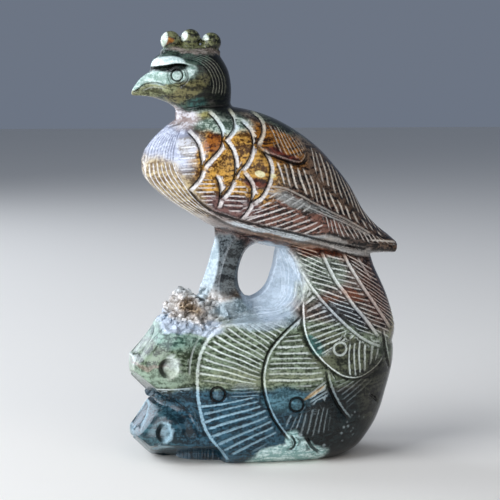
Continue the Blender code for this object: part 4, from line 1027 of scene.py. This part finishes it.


# The stone: where each colour of the jasper comes to the surface, seen from the side, with a few painted
# highlights, reflections and sheen among them. A zone gives its centre's x and z, half length, half height,
# lean in degrees, softness, its dark and light tone, and the tone of its powder. A later zone lies over the
# earlier ones.
stoneZones = (
    ("tail", 25, 73, 26, 14, -35, 0.5, "#130b07", "#6a5443", "#eee4d6"),
    ("under body", -2, 72, 30, 9, -12, 0.5, "#1d0f0d", "#5f4038", "#cfc4ba"),
    ("upper train", 22, 52, 18, 16, -30, 0.5, "#100a08", "#66574e", "#e4e0da"),
    ("train by the scoop", 11.5, 55.5, 5.5, 7, -20, 0.6, "#283022", "#8b9587", "#e8ece6"),
    ("between the shafts", 18.5, 56.2, 3.5, 4.2, -30, 0.7, "#2b3229", "#7d8678", "#e4eae4"),
    ("rusty side of the train", 32.5, 49, 4.5, 11, 25, 0.7, "#1d0e0a", "#5e4135", "#dccbc2"),
    ("red on the train", 23.8, 50.3, 3.6, 1.6, -28, 0.7, "#3a1a10", "#6e3a22", "#cdb4a4"),
    ("more red on the train", 18.2, 49.2, 3.2, 1.3, -15, 0.7, "#3a1c10", "#7a4a2c", "#cbb8ac"),
    ("black on the train", 21, 44.4, 8, 3.8, -32, 0.7, "#07080a", "#20242a", "#d0d7da"),
    ("train's edge", 38, 36, 3.5, 9, 5, 0.6, "#4a4330", "#857c5e", "#cfc7b0"),
    ("olive band", -6, 33, 46, 11, 0, 0.25, "#26321e", "#7b8a73", "#e2ebe5"),
    ("pale olive", -4, 27.4, 24, 2.2, 0, 0.8, "#4a5441", "#858d72", "#dce4d8"),
    ("green on the rock", -27, 38.6, 8, 3, -8, 0.7, "#1f3d33", "#7f9c8d", "#b3c6bb"),
    ("olive on the rock", -32, 27.5, 9, 2.6, 0, 0.6, "#556352", "#8b9e8a", "#c4cbbb"),
    ("pink streak", -34, 30.7, 5, 0.5, 1, 0.8, "#5b5546", "#938b7c", "#c8bdb4"),
    ("high feather", 22, 33, 13, 6.5, -20, 0.6, "#1a1e14", "#60654f", "#e0e8e2"),
    ("teal on the high feather", 12.3, 36.4, 2.4, 1.6, -40, 0.8, "#1a3d3a", "#4b7a73", "#c4dad5"),
    ("blue-green base", -10, -60, 130, 84.5, 0, 0.03, "#0b1f28", "#2e5364", "#a3c6d6"),
    # The left end of the base is drawn lighter, partly as painted sheen.
    ("left end of the base with painted sheen", -37, 12, 10, 12, 0, 0.8, "#1a2d33", "#3c5b62", "#a3c0cb"),
    ("teal by the second ring", 4.5, 20.8, 7, 2.6, -5, 0.7, "#2a4952", "#588290", "#9dbfca"),
    ("facet of the lower bulge", -37.4, 15.4, 6, 2.8, 56, 0.5, "#0d1f27", "#284550", "#a9c6d2"),
    ("dark base", 24, 10, 20, 15, 10, 0.5, "#080d0e", "#1b2526", "#b9c8cb"),
    ("right foot", 34, 20, 8, 14, 15, 0.5, "#121411", "#3b3c32", "#8f8f80"),
    ("pale foot", 5, 3.5, 11.5, 5, 8, 0.25, "#86aaa7", "#d8ebe9", "#e6f1ef"),
    ("peak of the pale foot", 6.8, 9, 2.4, 3.8, 15, 0.4, "#6c918d", "#b7d3d1", "#e6f1ef"),
    ("ledge", -22.2, 41.8, 8.5, 2.3, -4, 0.4, "#7f90a0", "#b9c6d4", "#e1e8f0"),
    ("foot rock", -20, 47, 10, 5, -3, 0.35, "#a3968a", "#ebe8e3", "#f4f3f1"),
    ("brown in the foot rock", -22, 46.4, 3.6, 1.6, -8, 0.8, "#5a3819", "#bc9c70", "#e2d9ca"),
    ("white on the foot rock", -20.5, 50.2, 6, 1.6, -8, 0.9, "#8f9290", "#dde1e0", "#eef0ef"),
    ("grey by the foot", -4, 44.5, 12, 3.2, -4, 0.5, "#4d5f66", "#96a9b1", "#c9d5da"),
    # The scoop's pale blue-white is partly the stone's tone and partly a painted reflection.
    ("scoop", 1, 54, 8.4, 11, 0, 0.25, "#8798a6", "#a6b6c4", "#d3dde6"),
    ("leg", -11, 58, 7, 9, 0, 0.4, "#1c2022", "#5c6365", "#9aa3a5"),
    ("under the leg", -8, 70, 9, 4, -20, 0.6, "#2a1b17", "#6a5650", "#b5aca6"),
    ("lower vane", 6, 72.4, 15, 3.8, -18, 0.5, "#190c09", "#80584b", "#f2ebe6"),
    ("russet under the wing", 9, 63.8, 16, 1.5, -15, 0.6, "#26100a", "#5c2f1d", "#c4a893"),
    ("pale band under the wing", 2, 68, 13, 1, -10.5, 0.5, "#5d6466", "#b9c3c8", "#e8edf0"),
    ("wing's rachis", 9, 76, 13, 1.3, -23, 0.8, "#1b1a17", "#5c5953", "#dcdddb"),
    ("amber", -9, 87, 13, 11.5, -15, 0.5, "#4a2c0c", "#ca9a48", "#e3e1df"),
    ("burnt orange", -15.4, 92.6, 3.4, 3, 10, 0.6, "#3c190b", "#995c22", "#e9e2da"),
    ("red by the scales", -4, 81.9, 3.8, 1.4, -5, 0.7, "#2c110b", "#6b3526", "#d3c6bd"),
    ("purple scales", -11, 75.6, 10, 3, -12, 0.6, "#2b1618", "#70504b", "#e6dedb"),
    ("orange", 3, 92.6, 9.6, 4.4, -36, 0.6, "#2a1507", "#9a6420", "#dccfba"),
    ("red under the covert", 4.2, 89.6, 5.4, 1.3, -20, 0.7, "#2c0f0a", "#6a2c1e", "#cfb9ac"),
    ("back", 5.5, 100.4, 17, 3.6, -28, 0.5, "#141913", "#485042", "#aab09c"),
    ("brown of the back", 25, 81, 17, 4, -52, 0.5, "#120a06", "#54402f", "#eadfce"),
    ("shoulder", -14, 99, 10, 3.6, -8, 0.5, "#4a5c50", "#bccbbd", "#d6e2e6"),
    ("olive on the shoulder", -18.8, 100.6, 3.4, 1.5, 10, 0.8, "#3f3d20", "#97925c", "#d6d6c4"),
    # The breast's lavender white is partly the stone's tone and partly a painted reflection.
    ("breast", -31.5, 92, 10, 11.5, -10, 0.4, "#8f95a8", "#bcc2d2", "#e6eaf2"),
    # The white patch on the first scale is a painted reflection.
    ("painted reflection on the first scale", -22.8, 91.8, 2.6, 3, 0, 0.6, "#7d766c", "#b9bac0", "#f2f2f4"),
    ("low breast", -26.5, 80.5, 12.5, 4.8, -45, 0.6, "#6a5434", "#b5a27a", "#f1f1f4"),
    ("throat", -23.6, 101, 4.6, 4.4, 0, 0.5, "#80706b", "#bdb9bd", "#e2e5ec"),
    ("head", -20, 112, 15, 9.5, 0, 0.15, "#0f1814", "#384d42", "#a5b8ad"),
    ("back of the head", -11, 110, 7.5, 11, 0, 0.6, "#060705", "#1c2015", "#cfd0b8"),
    ("cheek", -22.3, 107.8, 6.6, 2.9, 30, 0.6, "#22200f", "#6e6945", "#a9a684"),
    ("teal under the cheek", -19, 105, 3, 1.2, 0, 0.8, "#102421", "#2f5550", "#93a69b"),
    ("beak", -31.5, 107.9, 6.6, 2.4, 14, 0.6, "#3a3c22", "#8b8f68", "#dde3d2"),
    ("face", -27.6, 112, 7.4, 2.4, 10, 0.35, "#7d978c", "#bbcfc8", "#e0ebe7"),
    # The white along the upper beak is a painted highlight.
    ("painted highlight along the beak", -34.9, 109.5, 3.4, 1.1, 47, 0.5, "#7d978c", "#bbcfc8", "#e0ebe7"),
    ("crest", -20, 122, 11, 3.6, 0, 0.3, "#191c11", "#747753", "#b9bc9c"),
    ("crest's foot", -19, 118.6, 7.5, 1, 0, 0.6, "#4e463f", "#8f867d", "#b5aea6"),
    ("orange knob", -26.9, 120.9, 1.8, 0.9, 10, 0.6, "#6e3f14", "#a5712c", "#cdb79c"),
)
# Zones that end where a cut face ends, so that their edges run true; some of them are painted highlights,
# reflections and shade. After the softness: 1 for what lies on the high side of a step alone, -1 for the
# low side, 0 for both
faceZones = (
    # The pale tone of the leg's front facet is a painted reflection.
    ("leg's face with a painted reflection", -15.9, 56.2, 2.5, 9.5, -13, 0.3, 0, "#9aaab1", "#c0ced5", "#e8f1f5"),
    # The dark here, under the overhang above the eye, is painted shade.
    ("painted shade between the eye and its ridge", -26.4, 114.4, 4.8, 1.7, 3, 0.4, -1, "#050806", "#1a2822", "#93a69b"),
    # The white of this ridge is a painted highlight.
    ("painted highlight on the ridge over the eye", -27.3, 115.2, 4.6, 2, 3, 0.25, 1, "#a9bdb9", "#dce8e5", "#f4f8f7"),
    # The pale spot here is a painted glint.
    ("painted glint behind the eye", -21.2, 112.6, 1.3, 0.9, 20, 0.3, 0, "#94aba4", "#cddcd7", "#eef3f0"),
    # The white in the three knobs is painted reflection.
    ("painted reflection in the first knob", -28.2, 122.2, 1.2, 2.3, -10, 0.4, 0, "#a9b5a6", "#e3eae2", "#f2f4f0"),
    ("painted reflection in the second knob", -22.2, 122.9, 0.8, 1.4, -20, 0.5, 0, "#a9b5a6", "#d6dfd6", "#f2f4f0"),
    ("painted reflection in the third knob", -16.5, 122.7, 1.2, 0.9, -35, 0.5, 0, "#a9b5a6", "#d6dfd6", "#f2f4f0"),
    ("tan shaft by the second ring", 12.4, 22.8, 3.6, 0.5, 31, 0.4, 0, "#5e4a2c", "#9c8560", "#c9bba0"),
    ("gold spot", -2.8, 84.6, 1.5, 0.9, -15, 0.25, 0, "#c3b67c", "#e9e2b8", "#f0ecd2"),
    ("small gold spot", 0.9, 84, 0.9, 0.6, 0, 0.3, 0, "#b3a66c", "#ddd5a6", "#f0ecd2"),
)
# Where the grinding dust was never polished off: centre, half sizes, lean, softness and how much is left
dustyZones = (
    ("scoop", 2, 54, 9, 11, 0, 0.3, 0.35),
    ("foot rock", -19, 46, 10, 6, -5, 0.4, 0.35),
    ("under the wing", 6, 66.5, 32, 1.8, -12, 0.5, 0.5),
    ("rachis of the wing", 6, 77.4, 8, 1.2, -20, 0.8, 0.3),
    ("ledge", -22, 41.8, 8, 2, -4, 0.5, 0.4),
    ("ledge by the foot", -6, 43, 12, 1.4, -2, 0.5, 0.4),
)
finish = {
    "polish": 0.15,          # roughness of the polished faces
    "matt": 0.6,             # roughness of cut stone
    "refraction": 1.54,      # that of quartz
    "specular": 0.3,         # a hand polish gives back less than a perfect one, which is 0.5
    "pits": (0.3, 0.15),     # what the polish leaves open: strength and depth, mm
    "wander": (9.0, 5.0),    # a zone's edge: from one bend to the next and how far it strays, mm
    "fray": (2.2, 1.4),      # its finer raggedness
    "edgeDetail": 3,
    "zoneWidth": 1000,       # metres: a zone runs right through the stone
    "stepEdge": 0.1,         # half the width over which a zone ends at a step, mm
    "beds": 10,              # how many times longer than thick the layers in the stone are
    # Patterns in the stone: mm from one patch to the next, octaves, and strength of the finer ones. The
    # real grain is too fine to show, and is drawn this coarse.
    "patterns": {
        "layers": (9.0, 4, 0.5),
        "mottle": (2.0, 6, 0.68),
        "specks": (0.7, 3, 0.7),
        "grain": (0.4, 2, 0.5),
    },
    "turn": (1.39, 1.66),    # summed patterns at which the dark tone ends, and the light one begins
    "plain": ("#3a3028", "#7d7365", "#c6c0b6"),  # tones of stone that no zone covers
    "shadeAndGrime": "#0e0d0b",      # painted shade with grime, for the deep corners and the cuts
    "paleness": 0.95,        # how far the dust, and the painted shade with grime, cover the stone
    "darkness": 0.95,
    "shadeAndGrimeShare": 0.85,      # how far the painted shade with grime hides the dark tone under it
    "broken": (0.3, 0.6, 0.5),  # specks that break the dust up: from, to, and how much is left between them
    "bandEdge": 0.3,         # how soft a band's edges are, as a share of its half width
}
# The bands drawn beside a line, in the units of its distance: their middle, half width, how far the grain
# makes their edges stray, and which marks they leave for a tint's sign. The dark marks are painted shade
# with grime.
bands = (
    ("featherEdge", 0.3, 0.21, 0.6, {"pale": 1}),
    ("featherEdge", -0.34, 0.34, 0.6, {"dark": 1}),
    ("scaleEdge", -0.85, 0.5, 0.6, {"pale": 1}),
    ("scaleEdge", -0.08, 0.26, 0.6, {"dark": 1}),
    ("plainCut", 0, 0.8, 0.9, {"pale": 1, "dark": -1}),
    ("stroke0", 0.5, 0.15, 0.32, {"pale": 1, "dark": -1}),
    ("stroke1", 0.5, 0.15, 0.32, {"pale": 1, "dark": -1}),
)


def zoneMask(tree, place, name, x, z, halfLength, halfHeight, lean, softness):
    # 1 inside an oval tube that runs through the stone from side to side, 0 outside it
    centre = Vector((x, 0, z)) * mm - Vector(drawnOffset) * mm
    size = (halfLength * mm, finish["zoneWidth"], halfHeight * mm)
    local = addNode(tree, "Mapping", {"Vector": place, "Location": centre, "Scale": size,
                                      "Rotation": (0, -math.radians(lean), 0)},
                    vector_type="TEXTURE", label=name)
    out = addNode(tree, "VectorMath", {0: local}, operation="LENGTH")
    outer, inner = 1 + softness / 2, 1 - softness / 2
    return addNode(tree, "MapRange", {"Value": out, "From Min": outer, "From Max": inner},
                   interpolation_type="SMOOTHSTEP")


def blendTones(tree, mask, tones, zoneTones):
    return [addNode(tree, "Mix", {0: mask, "A": tone, "B": zoneTone}, data_type="RGBA")
            for tone, zoneTone in zip(tones, zoneTones)]


def moved(tree, place, size, amount):
    # the place pushed about by a noise of this size, both in millimetres
    push = addNode(tree, "TexNoise", {"Vector": place, "Scale": 1 / (size * mm),
                                      "Detail": finish["edgeDetail"]})
    centred = addNode(tree, "VectorMath", {0: push.outputs["Color"], 1: (0.5, 0.5, 0.5)},
                      operation="SUBTRACT")
    scaled = addNode(tree, "VectorMath", {0: centred, "Scale": amount * mm}, operation="SCALE")
    return addNode(tree, "VectorMath", {0: place, 1: scaled}, operation="ADD")


def lineBand(tree, distance, middle, half, ragged):
    # a crisp band beside a line, its edges nibbled by the grain
    strayed = addNode(tree, "Math", {0: distance, 1: ragged}, operation="ADD")
    away = addNode(tree, "Math", {0: strayed, 1: middle}, operation="SUBTRACT")
    size = addNode(tree, "Math", {0: away}, operation="ABSOLUTE")
    outer, inner = half * (1 + finish["bandEdge"]), half * (1 - finish["bandEdge"])
    return addNode(tree, "MapRange", {"Value": size, "From Min": outer, "From Max": inner},
                   interpolation_type="SMOOTHSTEP")


def drawnMarks(tree, grain):
    # the pale and the dark marks along the cuts, from the lines' places in the mesh; the dark ones are
    # painted shade with grime
    shadeAndGrime = addNode(tree, "Attribute", {}, attribute_name="shadeAndGrime")
    marks = {"pale": 0, "dark": shadeAndGrime.outputs["Fac"]}
    spread = addNode(tree, "Math", {0: grain, 1: 0.5}, operation="SUBTRACT")
    for name, middle, half, stray, shades in bands:
        ragged = addNode(tree, "Math", {0: spread, 1: stray}, operation="MULTIPLY")
        distance = addNode(tree, "Attribute", {}, attribute_name=name).outputs["Fac"]
        if name in strokeSets:
            distance = addNode(tree, "Math", {0: distance}, operation="FRACT")
        tint = addNode(tree, "Attribute", {}, attribute_name=name + "Tint").outputs["Fac"]
        band = lineBand(tree, distance, middle, half, ragged)
        for shade, sign in shades.items():
            part = addNode(tree, "Math", {0: tint, 1: sign}, operation="MULTIPLY", use_clamp=True)
            mark = addNode(tree, "Math", {0: band, 1: part}, operation="MULTIPLY")
            marks[shade] = addNode(tree, "Math", {0: marks[shade], 1: mark}, operation="MAXIMUM")
    return marks["pale"], marks["dark"]


def jasper():
    # polished jasper: silica stone with a glassy polish over layered colour, cut lines left matte and dusty
    material = bpy.data.materials.new("polishedJasper")
    material.use_nodes = True
    tree = material.node_tree
    shader = tree.nodes["Principled BSDF"]
    place = addNode(tree, "TexCoord", {}).outputs["Object"]
    bent = moved(tree, place, *finish["wander"])
    bent = moved(tree, bent, *finish["fray"])

    # the tone runs from dark to light through layers, blotches and specks
    beds = addNode(tree, "Mapping", {"Vector": bent, "Scale": (1, 1, finish["beds"])})
    patterns = {}
    for name, (size, octaves, finer) in finish["patterns"].items():
        patterns[name] = addNode(tree, "TexNoise", {"Vector": beds if name == "layers" else place,
                                                    "Scale": 1 / (size * mm), "Detail": octaves,
                                                    "Roughness": finer})
    tone = addNode(tree, "Math", {0: patterns["layers"], 1: patterns["mottle"]}, operation="ADD")
    tone = addNode(tree, "Math", {0: tone, 1: patterns["specks"]}, operation="ADD")
    darkest, lightest = finish["turn"]
    tone = addNode(tree, "MapRange", {"Value": tone, "From Min": darkest, "From Max": lightest})

    tones = finish["plain"]
    for *shape, dark, light, powder in stoneZones:
        tones = blendTones(tree, zoneMask(tree, bent, *shape), tones, (dark, light, powder))
    step = addNode(tree, "Attribute", {}, attribute_name="featherEdge").outputs["Fac"]
    for *shape, side, dark, light, powder in faceZones:
        mask = zoneMask(tree, place, *shape)
        if side:
            edge = finish["stepEdge"] * side
            kept = addNode(tree, "MapRange", {"Value": step, "From Min": -edge, "From Max": edge})
            mask = addNode(tree, "Math", {0: mask, 1: kept}, operation="MULTIPLY")
        tones = blendTones(tree, mask, tones, (dark, light, powder))
    dark, light, powder = tones
    stone = addNode(tree, "Mix", {0: tone, "A": dark, "B": light}, data_type="RGBA")

    # the cuts: powder of the stone's own colour, and painted shade with grime
    paleMarks, darkMarks = drawnMarks(tree, patterns["grain"])
    dust = addNode(tree, "Attribute", {}, attribute_name="powder").outputs["Fac"]
    for *shape, amount in dustyZones:
        mask = addNode(tree, "Math", {0: zoneMask(tree, bent, *shape), 1: amount}, operation="MULTIPLY")
        dust = addNode(tree, "Math", {0: dust, 1: mask}, operation="MAXIMUM")
    low, high, least = finish["broken"]
    broken = addNode(tree, "MapRange", {"Value": patterns["specks"], "From Min": low, "From Max": high,
                                        "To Min": least})
    film = addNode(tree, "Math", {0: dust, 1: broken}, operation="MULTIPLY")
    lines = addNode(tree, "Math", {0: paleMarks, 1: broken}, operation="MULTIPLY")
    pale = addNode(tree, "Math", {0: lines, 1: film}, operation="MAXIMUM")
    paler = addNode(tree, "Math", {0: pale, 1: finish["paleness"]}, operation="MULTIPLY")
    dusted = addNode(tree, "Mix", {0: paler, "A": stone, "B": powder}, data_type="RGBA")
    shadeAndGrime = addNode(tree, "Mix", {0: finish["shadeAndGrimeShare"], "A": dark, "B": finish["shadeAndGrime"]},
                    data_type="RGBA")
    darker = addNode(tree, "Math", {0: darkMarks, 1: finish["darkness"]}, operation="MULTIPLY")
    shadedAndGrimy = addNode(tree, "Mix", {0: darker, "A": dusted, "B": shadeAndGrime}, data_type="RGBA")
    tree.links.new(shadedAndGrimy.outputs["Result"], shader.inputs["Base Color"])

    matt = addNode(tree, "Math", {0: paleMarks, 1: dust}, operation="MAXIMUM")
    rough = addNode(tree, "MapRange", {"Value": matt, "To Min": finish["polish"], "To Max": finish["matt"]})
    tree.links.new(rough.outputs["Result"], shader.inputs["Roughness"])
    shader.inputs["IOR"].default_value = finish["refraction"]
    shader.inputs["Specular IOR Level"].default_value = finish["specular"]

    deep = addNode(tree, "Math", {0: paleMarks, 1: darkMarks}, operation="MAXIMUM")
    height = addNode(tree, "Math", {0: patterns["grain"], 1: deep}, operation="SUBTRACT")
    strength, depth = finish["pits"]
    pitted = addNode(tree, "Bump", {"Height": height, "Strength": strength, "Distance": depth * mm})
    tree.links.new(pitted.outputs["Normal"], shader.inputs["Normal"])
    return material


piece.data.materials.clear()
piece.data.materials.append(jasper())
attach(piece, "root")
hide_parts("peacock_carving")
print("stone finished")


# Where the picture is taken from, round the carving and above the floor
camera = {
    "around": -8,            # degrees from the carving's side, below zero towards its beak
    "above": 6,              # degrees above level
    "distance": 480,         # mm
    "lens": 119.44,          # mm
    "nearest": 10,           # what is nearer than this isn't drawn, mm
    "lookAt": (-3.83, 0, 59.6),
}
# The floor and the air, and each softbox: its place and size in metres, power and tint
surroundings = {
    "floorSize": 6,          # m
    "floor": "#f4efe6",
    "floorRoughness": 0.7,
    "air": "#a9b6cc",
    "airStrength": 0.38,
    "softboxes": {
        "frontSoftbox": ((-0.70, -0.35, 0.4), 0.7, 0.9, 11, "#f2f7ff"),
        "rimSoftbox": ((-0.65, 0.6, 0.35), 0.7, 0.9, 7, "#eaf2ff"),
        "fillSoftbox": ((0.3, -0.9, 0.6), 0.9, 0.9, 3, "#fff8ee"),
    },
    "aim": (0, 0, 60),       # what the softboxes are turned to, mm
}


def placeAimed(name, data, location, target):
    thing = bpy.data.objects.new(name, data)
    bpy.context.scene.collection.objects.link(thing)
    thing.location = location
    thing.rotation_euler = (Vector(target) - thing.location).to_track_quat("-Z", "Y").to_euler()
    return thing


def layFloor():
    selectOnly()
    bpy.ops.mesh.primitive_plane_add(size=surroundings["floorSize"])
    floor = bpy.context.object
    floor.name = "floor"
    paper = bpy.data.materials.new("paleFloor")
    paper.use_nodes = True
    shader = paper.node_tree.nodes["Principled BSDF"]
    shader.inputs["Base Color"].default_value = linear(surroundings["floor"])
    shader.inputs["Roughness"].default_value = surroundings["floorRoughness"]
    floor.data.materials.append(paper)


def lightUp():
    world = bpy.data.worlds.new("air")
    world.use_nodes = True
    background = world.node_tree.nodes["Background"]
    background.inputs["Color"].default_value = linear(surroundings["air"])
    background.inputs["Strength"].default_value = surroundings["airStrength"]
    bpy.context.scene.world = world
    aim = Vector(surroundings["aim"]) * mm
    for name, (location, width, height, power, tint) in surroundings["softboxes"].items():
        light = bpy.data.lights.new(name, "AREA")
        light.shape = "RECTANGLE"
        light.size, light.size_y = width, height
        light.energy = power
        light.color = linear(tint)[:3]
        placeAimed(name, light, location, aim)


def setCamera():
    data = bpy.data.cameras.new("camera")
    data.lens = camera["lens"]
    data.clip_start = camera["nearest"] * mm
    around, above = math.radians(camera["around"]), math.radians(camera["above"])
    level = math.cos(above)
    away = Vector((math.sin(around) * level, -math.cos(around) * level, math.sin(above)))
    target = Vector(camera["lookAt"]) * mm
    place = target + away * camera["distance"] * mm
    bpy.context.scene.camera = placeAimed("camera", data, place, target)
    bpy.context.scene.view_settings.view_transform = "Standard"


layFloor()
lightUp()
setCamera()
